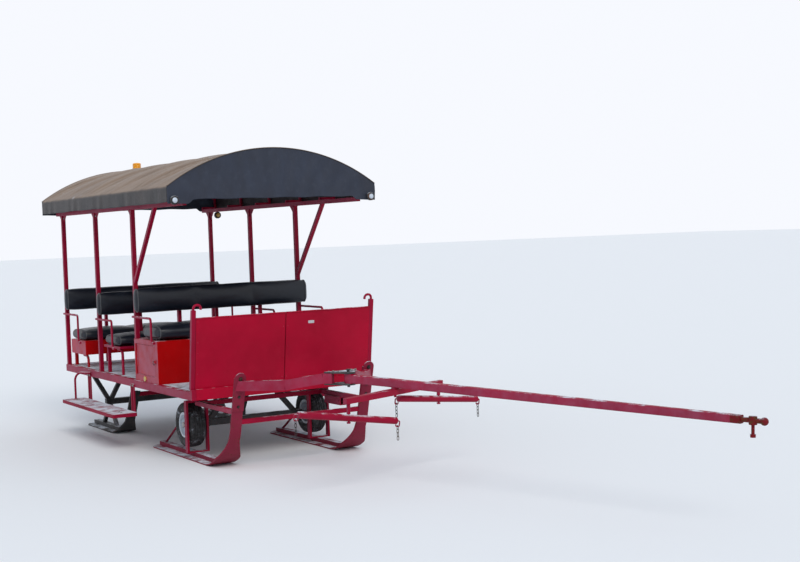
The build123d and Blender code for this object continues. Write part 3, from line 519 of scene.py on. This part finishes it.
def grid_faces(rows, columns, close_rows=False, close_columns=False, flip=False):
    """Quads between neighbours of a rows x columns grid of points, joined round where closed."""
    r = np.arange(rows if close_rows else rows - 1)
    c = np.arange(columns if close_columns else columns - 1)
    r, c = np.meshgrid(r, c, indexing="ij")
    r1 = (r + 1) % rows
    c1 = (c + 1) % columns
    quads = np.stack([r * columns + c, r1 * columns + c, r1 * columns + c1, r * columns + c1], axis=-1)
    quads = quads.reshape(-1, 4)
    return quads[:, ::-1] if flip else quads


def full_turn(count):
    """Angles evenly round a circle."""
    return np.linspace(0, 2 * np.pi, count, endpoint=False)


def spread_evenly(line, count):
    """Points evenly along a line of points, and the line's length."""
    run = np.concatenate([[0], np.cumsum(np.linalg.norm(np.diff(line, axis=0), axis=1))])
    pick = np.linspace(0, run[-1], count)
    return np.stack([np.interp(pick, run, column) for column in line.T], axis=1), run[-1]


def tube_points(path, radius, sides=10, closed=False):
    """Circle of the radius carried along a path, square to it. radius may be one for each point."""
    path = np.asarray(path, float)
    if closed:
        along = np.roll(path, -1, axis=0) - np.roll(path, 1, axis=0)
    else:
        along = np.gradient(path, axis=0)
    along /= np.linalg.norm(along, axis=1, keepdims=True)
    spread = path.max(axis=0) - path.min(axis=0)
    helper = np.eye(3)[int(np.argmin(spread))]
    side = np.cross(along, helper)
    side /= np.linalg.norm(side, axis=1, keepdims=True) + 1e-12
    up = np.cross(along, side)
    turn = full_turn(sides)
    radius = np.broadcast_to(np.asarray(radius, float), (len(path),))
    ring = np.cos(turn)[None, :, None] * side[:, None, :] + np.sin(turn)[None, :, None] * up[:, None, :]
    return path[:, None, :] + radius[:, None, None] * ring


def tube(path, radius, sides=10, closed=False):
    """Tube along a path as (points, faces). Open ends close on a tip."""
    path = np.asarray(path, float)
    if not closed:
        path = np.concatenate([path[:1], path, path[-1:]])
        path[0] = path[1] - (path[2] - path[1]) * 1e-3
        path[-1] = path[-2] + (path[-2] - path[-3]) * 1e-3
        radius = np.full(len(path), float(radius))
        radius[[0, -1]] = tip
    points = tube_points(path, radius, sides, closed)
    return points, grid_faces(len(path), sides, close_rows=closed, close_columns=True, flip=True)


def turned(profile, centre, axis, segments=24):
    """A profile of (distance along the axis, radius) turned about an axis through centre."""
    profile = np.asarray(profile, float)
    axis = np.asarray(axis, float) / np.linalg.norm(axis)
    helper = np.array([0.0, 0.0, 1.0]) if abs(axis[2]) < 0.9 else np.array([1.0, 0.0, 0.0])
    side = np.cross(helper, axis)
    side /= np.linalg.norm(side)
    up = np.cross(axis, side)
    turn = full_turn(segments)
    ring = np.cos(turn)[None, :, None] * side + np.sin(turn)[None, :, None] * up
    points = np.asarray(centre) + profile[:, None, 0:1] * axis + profile[:, None, 1:2] * ring
    return points, grid_faces(len(profile), segments, close_columns=True)


def hex_bolt(place, axis, radius=bolt_radius):
    """Hexagon head on a washer, standing on place along axis."""
    head = [(0, tip), (0, radius * 1.45), (radius * 0.2, radius * 1.45), (radius * 0.22, radius),
            (radius * 0.85, radius), (radius * 0.98, radius * 0.86), (radius, tip)]
    return turned(head, place, axis, 6)


def dome(place, axis, radius):
    """Round rivet or screw head."""
    line = [(0, tip), (0, radius), (radius * 0.3, radius * 0.9), (radius * 0.55, radius * 0.55),
            (radius * 0.65, tip)]
    return turned(line, place, axis, 12)


# Canopy: an arch through eaves and crown, on upright valances

roof_low, roof_high = corners("canopy_roof")
rear_x = roof_low[0]
front_x = roof_high[0]
hem_z = roof_low[2]
crown_z = roof_high[2]
roof_half = (roof_high[1] - roof_low[1]) / 2
eave_z = hem_z + valance_drop
arch_rise = crown_z - eave_z
arch_radius = (roof_half ** 2 + arch_rise ** 2) / (2 * arch_rise)
arch_centre = crown_z - arch_radius


def canopy_profile(count):
    """Points (y, z) along the cover from the right hem over the crown to the left hem, evenly spaced.

    Two upright walls and an arc, whose corners are rounded by averaging along the line.
    """
    arc_count = 400
    wall_count = 60
    even_count = 1200
    half = roof_half - cloth_clearance
    radius = arch_radius - cloth_clearance
    swing = math.asin(half / arch_radius)
    arc = np.linspace(-swing, swing, arc_count)
    wall = np.linspace(0, 1, wall_count)
    top = arch_centre + radius * np.cos(arc)
    y = np.concatenate([np.full(wall_count, -half), radius * np.sin(arc), np.full(wall_count, half)])
    z = np.concatenate([hem_z + (top[0] - hem_z) * wall, top, top[-1] + (hem_z - top[-1]) * wall])
    line, length = spread_evenly(np.stack([y, z], axis=1), even_count)
    window = max(3, int(eave_rounding / (length / even_count)))
    kernel = np.ones(window) / window
    padded = np.pad(line, ((window, window), (0, 0)), mode="reflect", reflect_type="odd")
    rounded = np.stack([np.convolve(column, kernel, "same") for column in padded.T], axis=1)
    pick = np.linspace(0, even_count - 1, count)
    index = np.arange(even_count)
    line = np.stack([np.interp(pick, index, column) for column in rounded[window:-window].T], axis=1)
    return line, length


def canopy_cover():
    """Stretched cover: the profile carried along x, drawn in between the hoops and creased aslant.

    Depth at bay position t and arch position a is sag * sin(pi t)^2 plus creases, each a bell
    across a line t = 0.5 + s * a, and a ripple along the hems, which also sway up a little.
    """
    line, length = canopy_profile(cover_columns)
    tangent = np.gradient(line, axis=0)
    tangent /= np.linalg.norm(tangent, axis=1, keepdims=True)
    outward = np.stack([-tangent[:, 1], tangent[:, 0]], axis=1)
    outward *= np.sign(np.sum(outward * (line - np.array([0, hem_z])), axis=1, keepdims=True))
    a = line[:, 0] / roof_half
    height = np.clip((line[:, 1] - eave_z) / (crown_z - eave_z), 0, 1)
    wall = np.clip(1.0 - (line[:, 1] - hem_z) / (eave_z - hem_z), 0, 1)

    x = np.linspace(rear_x, front_x, cover_rows)
    first = rear_x + hoop_inset
    bay = (front_x - rear_x - 2 * hoop_inset) / (hoop_count - 1)
    t = (x - first) / bay
    cell = np.floor(t)
    t = t - cell
    inside = ((x > first) & (x < front_x - hoop_inset)).astype(float)

    weight = np.clip(height * 2.2, 0, 1)
    sag = bay_sag * np.sin(np.pi * t)[:, None] ** 2 * weight[None, :] * inside[:, None]
    crease = np.zeros_like(sag)
    for slope, width, share in creases:
        lean = slope * np.where(cell % 2 == 0, 1.0, -1.0)
        middle = 0.5 + lean[:, None] * (1.2 * a[None, :] + 0.1 * np.sin(3 * cell)[:, None])
        bell = np.exp(-((t[:, None] - middle) / width) ** 2)
        crease += share * bell * np.sin(np.pi * height)[None, :] ** 0.6
    crease *= fold_depth * inside[:, None]
    slack = (0.25 + 0.75 * np.sin(np.pi * t) ** 2) * inside
    wave = np.sin(x * 23.0 + 1.3 * np.sin(x * 7.0))
    ripple = hem_ripple * (slack * wave)[:, None] * wall[None, :] ** 0.7
    depth = sag + crease + ripple + 0.001
    sway = 0.8 * np.abs(0.006 * np.sin(x * 2.1) + 0.003 * np.sin(x * 9.0 + 0.5) - 0.003)

    points = np.zeros((cover_rows, cover_columns, 3))
    points[:, :, 0] = x[:, None]
    points[:, :, 1] = line[None, :, 0] - depth * outward[None, :, 0]
    points[:, :, 2] = line[None, :, 1] - depth * outward[None, :, 1] + sway[:, None] * wall[None, :]
    piece = mesh_piece("canopy_cover", points, grid_faces(cover_rows, cover_columns), "roof")
    skin = piece.modifiers.new("thickness", "SOLIDIFY")
    skin.thickness = cloth_thickness
    skin.offset = -1.0
    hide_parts("canopy_roof")


def gable_cover(end):
    """End cloth: a grid between the hem and the arch, pulled in folds towards the crown.

    The fold depth is a fan of waves about a point under the hem, strongest half way up. The hem
    drops to a flap at each side.
    """
    name = "canopy_gable_" + end
    low, high = corners(name)
    sign = 1.0 if end == "front" else -1.0
    y = np.linspace(-1, 1, gable_columns) * (roof_half - cloth_clearance)
    top = arch_centre + np.sqrt((arch_radius - cloth_clearance) ** 2 - y ** 2)
    flap = np.clip((np.abs(y) - (roof_half - flap_width)) / flap_ramp, 0, 1)
    bottom = low[2] + 0.002 + (1 - flap * flap * (3 - 2 * flap)) * flap_drop + 0.003 * np.sin(y * 17.0)
    s = np.linspace(0, 1, gable_rows)[:, None]
    z = bottom[None, :] + (top - bottom)[None, :] * s
    angle = np.arctan2(z - (hem_z - 0.6), y[None, :])
    fold = 0.0035 * np.sin(angle * 34.0) * np.sin(np.pi * s) ** 0.8
    fold += 0.003 * np.sin(y[None, :] * 6.0 + 3.0 * s) * np.sin(np.pi * s)
    middle = (low[0] + high[0]) / 2
    points = np.zeros((gable_rows, gable_columns, 3))
    points[:, :, 0] = middle + sign * 0.001 + fold
    points[:, :, 1] = y[None, :]
    points[:, :, 2] = z
    faces = grid_faces(gable_rows, gable_columns, flip=end == "front")
    piece = mesh_piece(name + "_cloth", points, faces, "gable")
    skin = piece.modifiers.new("thickness", "SOLIDIFY")
    skin.thickness = cloth_thickness
    skin.offset = 0.0
    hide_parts(name)
    area = float(np.trapz(top - bottom, y))
    tall = float(np.max(top - bottom))
    edge = np.stack([np.full(gable_columns, middle + sign * 0.002), y, top - 0.002], axis=1)
    trim = joined(name + "_piping", [tube(edge, piping_radius, 8)], "roof")


# Upholstery

def superbow(angle, power):
    """Cosine and sine pulled towards a square: sign * |value| ** (2 / power)."""
    c = np.cos(angle)
    s = np.sin(angle)
    return np.sign(c) * np.abs(c) ** (2 / power), np.sign(s) * np.abs(s) ** (2 / power)


def pad_section(power, crown, count):
    """Half sizes' shares (x, z) round a pad: a superellipse whose top sinks by crown towards its edges."""
    c, s = superbow(full_turn(count), power)
    rise = s * (1 - crown * (1 - s.clip(0, 1)) - crown * (c ** 2) * (s > 0))
    return c, rise


def pad_form(middle, half, power, crown):
    """Closed pad: its section in x and z carried along y, closed at its ends by a quarter bow.

    The bow's share of the section is |cos| ** end_bow where its place along y is |sin| ** end_bow.
    """
    c, rise = pad_section(power, crown, pad_columns)
    end = np.linspace(-np.pi / 2, np.pi / 2, pad_rows)
    along = np.sign(np.sin(end)) * np.abs(np.sin(end)) ** end_bow
    grow = np.abs(np.cos(end)) ** end_bow
    grow[[0, -1]] = 1e-4
    points = np.zeros((pad_rows, pad_columns, 3))
    points[:, :, 0] = middle[0] + half[0] * grow[:, None] * c[None, :]
    points[:, :, 1] = middle[1] + half[1] * along[:, None]
    points[:, :, 2] = middle[2] + half[2] * grow[:, None] * rise[None, :]
    return points, grid_faces(pad_rows, pad_columns, close_columns=True)


def ring_seam(middle, half, y, power, crown):
    """Closed seam round a pad's section at y, where its end bow has drawn the section in."""
    c, rise = pad_section(power, crown, 96)
    share = min(0.999, abs(y - middle[1]) / half[1])
    grow = (1 - share ** (2 / end_bow)) ** (end_bow / 2)
    x = middle[0] + half[0] * grow * c
    z = middle[2] + half[2] * grow * rise
    return np.stack([x, np.full(len(c), y), z], axis=1)


def puffed(piece, seams):
    """Blows the pad up like filled cloth, with the vertices near its seams held."""
    bpy.ops.object.select_all(action="DESELECT")
    piece.select_set(True)
    bpy.context.view_layer.objects.active = piece
    remesh = piece.modifiers.new("remesh", "REMESH")
    remesh.mode = "VOXEL"
    remesh.voxel_size = pad_voxel
    bpy.ops.object.modifier_apply(modifier=remesh.name)
    mesh = piece.data
    start = mesh_points(mesh)
    near = np.full(len(start), np.inf)
    for seam in seams:
        for chunk in np.array_split(seam, max(1, len(seam) // 64)):
            gap = np.linalg.norm(start[:, None, :] - chunk[None, :, :], axis=2).min(axis=1)
            near = np.minimum(near, gap)
    group = piece.vertex_groups.new(name="held")
    held = np.nonzero(near < pad_voxel * 0.9)[0]
    group.add(held.tolist(), 1.0, "REPLACE")
    cloth = piece.modifiers.new("cloth", "CLOTH")
    cloth.settings.use_pressure = True
    cloth.settings.uniform_pressure_force = pad_pressure
    cloth.settings.effector_weights.gravity = 0.0
    cloth.settings.vertex_group_mass = "held"
    cloth.settings.tension_stiffness = 18
    cloth.settings.compression_stiffness = 18
    cloth.settings.bending_stiffness = 0.6
    cloth.settings.quality = 4
    cloth.collision_settings.use_collision = False
    cloth.point_cache.frame_start = 1
    cloth.point_cache.frame_end = pad_frames
    scene = bpy.context.scene
    for number in range(1, pad_frames + 1):
        scene.frame_set(number)
    graph = bpy.context.evaluated_depsgraph_get()
    move = mesh_points(piece.evaluated_get(graph).data) - start
    scene.frame_set(1)
    piece.modifiers.remove(cloth)
    size = np.linalg.norm(move, axis=1, keepdims=True)
    move *= np.minimum(1.0, pad_cap / np.maximum(size, 1e-9))
    mesh.vertices.foreach_set("co", (start + move).reshape(-1))
    mesh.update()
    mesh.polygons.foreach_set("use_smooth", [True] * len(mesh.polygons))


def upholstered(node, power, crown, seam_inset, channels):
    """A pad in place of its plain solid: form, blown cover, welted end seams and held channels."""
    low, high = corners(node)
    low = low + pad_shrink
    high = high - pad_shrink
    middle = (low + high) / 2
    half = (high - low) / 2
    points, faces = pad_form(middle, half, power, crown)
    piece = mesh_piece(node + "_pad", points, faces, "vinyl")
    end_places = [low[1] + seam_inset, high[1] - seam_inset]
    channel_places = [low[1] + (high[1] - low[1]) * k / (channels + 1) for k in range(1, channels + 1)]
    seams = [ring_seam(middle, half, y, power, crown) for y in end_places + channel_places]
    puffed(piece, seams)
    smooth = piece.modifiers.new("soften", "SUBSURF")
    smooth.levels = 1
    smooth.render_levels = 1
    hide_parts(node)
    rings = [tube(seam, piping_radius, 8, closed=True) for seam in seams[:len(end_places)]]
    joined(node + "_welts", rings, "piping")


# Wheels

def tyre_outline(width, outer):
    """Points (y, radius) over the tyre from bead to bead, evenly spaced, with its corners eased."""
    half = [(-0.0540, bead_radius), (-0.0590, bead_radius + 0.018), (-width + 0.005, bead_radius + 0.036),
            (-width, bead_radius + 0.056), (-width + 0.002, outer - 0.040), (-width + 0.008, outer - 0.016),
            (-width + 0.024, outer - 0.004), (-0.03, outer), (0.0, outer)]
    half = np.array(half)
    line = np.concatenate([half, half[:-1][::-1] * np.array([-1, 1])])
    y, r = spread_evenly(line, tyre_columns)[0].T
    kernel = np.ones(5) / 5
    y[2:-2] = np.convolve(y, kernel, "valid")
    r[2:-2] = np.convolve(r, kernel, "valid")
    return y, np.minimum(r, outer)


def tyre_cover(side):
    """Tyre: its outline in (y, radius) turned about the axle, with blocks cut in the shoulders.

    Four grooves run round, each a bell in y, and the shoulders' slots are a square wave of the
    angle. Two thin rings stand on each side wall.
    """
    name = "tyre_" + side
    low, high = corners(name)
    centre = (low + high) / 2
    outer = (high[0] - low[0]) / 2
    y, r = tyre_outline((high[1] - low[1]) / 2, outer)
    steps = tread_blocks * block_steps
    turn = full_turn(steps)
    crown = np.clip((r - (outer - 0.012)) / 0.008, 0, 1)
    groove = sum(np.exp(-((y - place) / groove_half) ** 4) for place in groove_places)
    phase = (turn[:, None] * tread_blocks / (2 * np.pi) + np.sign(y)[None, :] * 0.25) % 1.0
    edge = np.clip((np.abs(y) - 0.042) / 0.006, 0, 1)
    slot = np.clip(1.5 - np.abs(phase - 0.5) * 9.0, 0, 1) * edge[None, :]
    shoulder = np.clip((r - (outer - 0.03)) / 0.01, 0, 1)
    cut = groove_depth * np.maximum(groove[None, :] * crown[None, :], slot * shoulder[None, :] * 0.8)
    rings = 0.0012 * np.exp(-((r - (bead_radius + 0.045)) / 0.002) ** 2)
    rings += 0.0010 * np.exp(-((r - outer + 0.045) / 0.0025) ** 2)
    radius = r[None, :] - cut
    points = np.zeros((steps, tyre_columns, 3))
    points[:, :, 0] = centre[0] + radius * np.cos(turn)[:, None]
    points[:, :, 1] = centre[1] + (y + np.sign(y) * rings)[None, :]
    points[:, :, 2] = centre[2] + radius * np.sin(turn)[:, None]
    faces = grid_faces(steps, tyre_columns, close_rows=True, close_columns=True)
    piece = mesh_piece(name + "_tread", points, faces, "tyre", "wheel_" + side)
    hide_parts(name)


def wheel_fittings(side):
    """Wheel nuts, dust cap and valve on the outer face."""
    low, high = corners("rim_" + side)
    centre = (low + high) / 2
    sign = 1.0 if side == "left" else -1.0
    out = (0.0, sign, 0.0)
    shapes = []
    for k in range(nut_count):
        turn = 2 * np.pi * k / nut_count + 0.4
        place = (centre[0] + nut_circle * math.cos(turn), centre[1] + sign * nut_stand,
                 centre[2] + nut_circle * math.sin(turn))
        shapes.append(hex_bolt(place, out, 0.0055))
    cap = [(0.0, tip), (0.0, 0.027), (0.007, 0.027), (0.011, 0.024), (0.013, 0.014), (0.014, tip)]
    shapes.append(turned(cap, (centre[0], centre[1] + sign * cap_stand, centre[2]), out, 28))
    valve = [(0, tip), (0, 0.004), (0.02, 0.004), (0.021, 0.0055), (0.03, 0.0055), (0.031, tip)]
    foot = (centre[0] + valve_place[0], centre[1] + sign * valve_place[1], centre[2])
    shapes.append(turned(valve, foot, (0.2, sign, 0), 10))
    joined("wheel_fittings_" + side, shapes, "zinc", "wheel_" + side)


# Lamps

def beacon():
    """Ribbed dome: radius r * (0.96 - 0.035 * cos(ribs)) up the side, closing in a quarter bow on top."""
    low, high = corners("beacon_lens")
    centre = (low + high) / 2
    radius = (high[0] - low[0]) / 2
    t = np.linspace(0, 1, 70)
    bow = np.clip((t - 0.78) / 0.22, 0, 1)
    out = radius * (0.96 - 0.035 * np.cos(t * 2 * np.pi * 7)) * np.sqrt(np.clip(1 - bow ** 2.4, 0, 1))
    out[[0, -1]] = tip
    profile = np.stack([t * (high[2] - low[2]), out], axis=1)
    piece = joined("beacon_dome", [turned(profile, (centre[0], centre[1], low[2]), (0, 0, 1), 48)], "amber")
    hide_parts("beacon_lens")


def lamp(name, node, glass, count):
    """Round lamps facing forward: a dark can, a bezel ring and a bowed lens, each turned about x."""
    low, high = corners(node)
    radius = (high[2] - low[2]) / 2
    depth = high[0] - low[0]
    z = (low[2] + high[2]) / 2
    places = [(low[0], y, z) for y in (low[1] + radius, high[1] - radius)[:count]]
    can = [(0, tip), (0, radius * 0.8), (depth * 0.12, radius), (depth * 0.70, radius),
           (depth * 0.74, radius * 0.92), (depth * 0.74, tip)]
    bezel = [(depth * 0.70, radius * 0.64), (depth * 0.70, radius * 0.90), (depth * 0.84, radius * 0.86),
             (depth * 0.90, radius * 0.70), (depth * 0.80, radius * 0.62)]
    bow = np.linspace(0, np.pi / 2, 10)
    lens_line = np.stack([depth * (0.76 + 0.22 * np.sin(bow)),
                          np.maximum(tip, radius * 0.66 * np.cos(bow))], axis=1)
    cans, bezels, lenses = [
        joined(name + part, [turned(line, place, (1, 0, 0), 36) for place in places], finish)
        for part, line, finish in (("_cans", can, "black"), ("_bezels", bezel, "iron"),
                                   ("_lenses", lens_line, glass))]
    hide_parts(node)


# Fittings

def dash_point(height, y, out=0.0):
    """Point on the front face of the dash, at a height up its slope."""
    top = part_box("dash_panel_left")[1]
    foot_x = top[0] - dash_slope_height * math.sin(dash_lean)
    foot_z = top[2] - dash_slope_height * math.cos(dash_lean)
    return (foot_x + height * math.sin(dash_lean) + out * math.cos(dash_lean), y,
            foot_z + height * math.cos(dash_lean) - out * math.sin(dash_lean))


def dash_trim():
    """Rivets along the sheets' upright edges and a rolled bead along their top edges."""
    normal = (math.cos(dash_lean), 0, -math.sin(dash_lean))
    edge = 0.018
    margin = 0.04
    rivets = []
    beads = []
    for side in ("left", "right"):
        low, high = corners("dash_panel_" + side)
        for y in (low[1] + edge, high[1] - edge):
            for k in range(rivets_per_edge):
                height = margin + (dash_slope_height - 2 * margin) * k / (rivets_per_edge - 1)
                rivets.append(dome(dash_point(height, y), normal, 0.0048))
        span = np.linspace(low[1] + 0.004, high[1] - 0.004, 40)
        beads.append(tube([dash_point(dash_slope_height - 0.006, y, 0.001) for y in span], 0.006, 10))
    joined("dash_rivets", rivets, "sheet")
    joined("dash_beads", beads, "sheet")


def dash_label():
    """Small blank plate: a superellipse on the dash's slope, stepped out to a thin edge and face."""
    height, y = 0.528, 0.255
    half_height, half_width = 0.013, 0.030
    steps = ((-0.001, 1e-3), (-0.001, 1.0), (0.0015, 1.0), (0.0022, 0.94), (0.0022, 1e-3))
    c, s = superbow(full_turn(40), 9.0)
    rows = [[dash_point(height + half_height * grow * b, y + half_width * grow * a, out)
             for a, b in zip(c, s)] for out, grow in steps]
    plate = (np.array(rows), grid_faces(len(steps), len(c), close_columns=True))
    joined("dash_label", [plate], "label", smooth=False)


def nose_bolts():
    """Heads on the front runners' nose plates, the large one at the plate's head."""
    normal = (math.sin(nose_sweep), 0, -math.cos(nose_sweep))
    shapes = []
    for sign in (-1.0, 1.0):
        for down, share in ((0.0, 1.25), (0.165, 0.9), (0.255, 0.9)):
            place = (nose_head[0] - down * math.cos(nose_sweep), sign * nose_head[1],
                     nose_head[2] - down * math.sin(nose_sweep))
            shapes.append(hex_bolt(place, normal, bolt_radius * share))
    joined("nose_bolts", shapes, "iron", smooth=False)


def frame_bolts():
    """Hexagon heads on the posts' head plates, the step hangers, the step boards and the hitch plates."""
    up = (0, 0, 1)
    shapes = []
    low, high = corners("posts_left")
    head_z = high[2] - 0.03
    for sign in (-1.0, 1.0):
        face = sign * ((low[1] + high[1]) / 2 + 0.004)
        for x in post_places:
            shapes.append(hex_bolt((x - 0.045, face, head_z), (0, sign, 0), 0.008))
            if x < post_places[0]:
                shapes.append(hex_bolt((x + 0.045, face, head_z), (0, sign, 0), 0.008))
    rail_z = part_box("deck_frame")[0][2] + 0.015
    deck_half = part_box("deck_frame")[1][1]
    step_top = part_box("step_board_left")[1][2]
    for sign in (-1.0, 1.0):
        for hanger in hanger_places:
            for x in (hanger - 0.031, hanger + 0.031):
                shapes.append(hex_bolt((x, sign * (deck_half + 0.012), rail_z), (0, sign, 0), 0.009))
                shapes.append(hex_bolt((x, sign * (deck_half + 0.14), step_top), up, 0.008))
    low, high = corners("hitch")
    plate_top = high[2] - 0.023
    for ahead, y in ((0.045, 0.085), (0.045, 0.125), (0.100, 0.070)):
        for sign in (-1.0, 1.0):
            shapes.append(hex_bolt((low[0] + ahead, sign * y, plate_top), up, 0.010))
    joined("frame_bolts", shapes, "zinc", smooth=False)


def weld_beads():
    """Weld rings round the posts' feet and heads: a square path whose bead swells and narrows."""
    side = np.linspace(-post_half, post_half, 14)[:-1]
    edges = [np.stack([side, np.full(len(side), -post_half)], axis=1)]
    for _ in range(3):
        edges.append(np.stack([-edges[-1][:, 1], edges[-1][:, 0]], axis=1))
    ring = np.concatenate(edges)
    swell = 0.0038 * (1 + 0.28 * np.sin(np.arange(len(ring)) * 1.9))
    low, high = corners("posts_left")
    y = (low[1] + high[1]) / 2
    box_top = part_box("seat_box")[1][2]
    shapes = []
    for sign in (-1.0, 1.0):
        for x in post_places:
            foot = box_top if x == post_places[0] else 0.0
            for z in (foot + 0.001, high[2] - 0.001):
                path = np.stack([x + ring[:, 0], sign * y + ring[:, 1], np.full(len(ring), z)], axis=1)
                shapes.append(tube(path, swell, 8, closed=True))
    joined("weld_beads", shapes, "tube")


def latch_loop(sign):
    """Wire ring that hangs in the staple of a door: a closed oval, leaning out from the box's side."""
    box = mesh_points(nodes["seat_box"].data)
    low, high = corners("seat_box")
    staple = box[(box[:, 1] * sign > high[1] - 0.001) & (box[:, 0] > (low[0] + high[0]) / 2)]
    bar = (staple.min(axis=0) + staple.max(axis=0)) / 2
    turn = full_turn(28)
    path = np.stack([bar[0] + 0.002 * np.cos(turn), bar[1] + sign * (0.001 + 0.011 * np.cos(turn)),
                     bar[2] - 0.010 + 0.018 * np.sin(turn)], axis=1)
    return tube(path, 0.0028, 8, closed=True)


def door_fittings(side):
    """Screw heads on both leaves of a door's hinge and on its hasp, and the ring in its staple."""
    sign = 1.0 if side == "left" else -1.0
    low, high = corners("box_door_" + side)
    leaf = sign * (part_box("seat_box")[1][1] - staple_stand + leaf_thickness)
    hinge_x = low[0] + 0.008
    middle = (low[2] + high[2]) / 2

    def screws(x, y, heights):
        return [dome((x, y, middle + height), (0, sign, 0), screw_radius) for height in heights]

    fixed = screws(hinge_x - 0.015, leaf, (-0.120, -0.098, 0.098, 0.120))
    swung = screws(hinge_x + 0.022, leaf, (-0.05, 0.0, 0.05))
    swung += screws(high[0] - 0.090, leaf + sign * 0.001, (-0.012, 0.012))
    joined("hinge_screws_fixed_" + side, fixed, "zinc")
    joined("latch_ring_" + side, [latch_loop(sign)], "iron")
    joined("hinge_screws_door_" + side, swung, "zinc", "box_door_" + side)


def chain_links(side):
    """Round wire links in place of the plain ones: a stadium path, each turned square to the last.

    The chain's two hanging ends are told apart by y, and the bar's turn comes from the line between them.
    """
    cloud = mesh_points(nodes["swing_chain_" + side].data)
    cut = (cloud[:, 1].min() + cloud[:, 1].max()) / 2
    ends = [cloud[cloud[:, 1] < cut], cloud[cloud[:, 1] >= cut]]
    centres = [(end.min(axis=0) + end.max(axis=0)) / 2 for end in ends]
    step = centres[1] - centres[0]
    yaw = math.atan2(-step[0], step[1])
    wire = 0.0025
    bend = 0.0085
    straight = 0.0080
    turn = np.linspace(0, np.pi, 12)
    across = np.concatenate([bend * np.cos(turn), -bend * np.cos(turn)])
    along = np.concatenate([straight + bend * np.sin(turn), -straight - bend * np.sin(turn)])
    shapes = []
    for end, centre in zip(ends, centres):
        top = end[:, 2].max()
        for k in range(link_count):
            angle = yaw + (np.pi / 2 if k % 2 else 0.0)
            middle_z = top - link_half - k * link_pitch
            path = np.stack([centre[0] + across * math.cos(angle), centre[1] + across * math.sin(angle),
                             middle_z + along], axis=1)
            shapes.append(tube(path, wire, 8, closed=True))
    piece = joined("swing_chain_links_" + side, shapes, "iron", "swing_bar_" + side)
    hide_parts("swing_chain_" + side)


# Build
canopy_cover()
gable_cover("front")
gable_cover("rear")
beacon()
lamp("corner_lamp", "corner_lamps", "clear", 2)
lamp("rear_lamp", "rear_lamp", "ochre", 1)
dash_trim()
dash_label()
nose_bolts()
frame_bolts()
weld_beads()
for row in ("front", "middle", "rear"):
    upholstered("cushion_" + row, 4.2, 0.10, 0.030, 2)
    upholstered("backrest_" + row, 3.6, 0.0, 0.024, 2)
for side in ("left", "right"):
    tyre_cover(side)
    wheel_fittings(side)
    door_fittings(side)
    chain_links(side)


# Floor, light and camera

def pale_floor():
    """Broad flat floor under the runners."""
    reach = 150.0
    mesh = bpy.data.meshes.new("floor")
    square = ((-1, -1), (1, -1), (1, 1), (-1, 1))
    mesh.from_pydata([(reach * x, reach * y, floor_z) for x, y in square], [], [(0, 1, 2, 3)])
    floor = bpy.data.objects.new("floor", mesh)
    bpy.context.scene.collection.objects.link(floor)
    mesh.materials.append(Finish("pale_floor").close((0.86, 0.88, 0.91), 0.9))


def sky():
    """Even blue light on the object, and a pale backdrop for what the camera, metal and glass see."""
    world = bpy.data.worlds.new("sky")
    bpy.context.scene.world = world
    tree = Tree(world)
    camera_ray = tree.node("ShaderNodeLightPath", out="Is Camera Ray")
    seen = camera_ray.math("MAXIMUM", camera_ray.sibling("Is Glossy Ray"))
    seen = seen.math("MAXIMUM", camera_ray.sibling("Is Transmission Ray"))
    light = tree.node("ShaderNodeBackground", {}, {"Color": (0.84, 0.91, 1.0), "Strength": 0.72})
    backdrop = tree.node("ShaderNodeBackground", {}, {"Color": (0.93, 0.95, 1.0), "Strength": 1.0})
    mix = tree.node("ShaderNodeMixShader", {}, {0: seen, 1: light, 2: backdrop})
    tree.node("ShaderNodeOutputWorld", {}, {"Surface": mix})


def soft_key():
    """One broad soft lamp from the front right."""
    sun = bpy.data.lights.new("soft_key", "SUN")
    sun.energy = 1.3
    sun.angle = math.radians(30)
    sun.color = (1.0, 0.96, 0.90)
    key = bpy.data.objects.new("soft_key", sun)
    key.rotation_euler = (math.radians(48), math.radians(8), math.radians(70))
    bpy.context.scene.collection.objects.link(key)


def aim_camera():
    """Camera where the photograph was taken from: its place and axes in the sleigh's frame."""
    place = (12.704, -5.219, 1.350)
    right = (0.51146, 0.85858, -0.03541)
    up = (-0.01478, 0.04999, 0.99864)
    back = (0.85918, -0.51024, 0.03826)
    camera = bpy.data.cameras.new("camera")
    camera.sensor_width = 36.0
    camera.lens = 60.2
    camera.clip_end = 400.0
    rig = bpy.data.objects.new("camera", camera)
    bpy.context.scene.collection.objects.link(rig)
    axes = np.eye(4)
    axes[:3] = np.column_stack([right, up, back, place])
    rig.matrix_world = mathutils.Matrix(axes.tolist())
    bpy.context.scene.camera = rig


pale_floor()
sky()
soft_key()
aim_camera()
bpy.context.scene.view_settings.view_transform = "Standard"

bpy.context.view_layer.update()
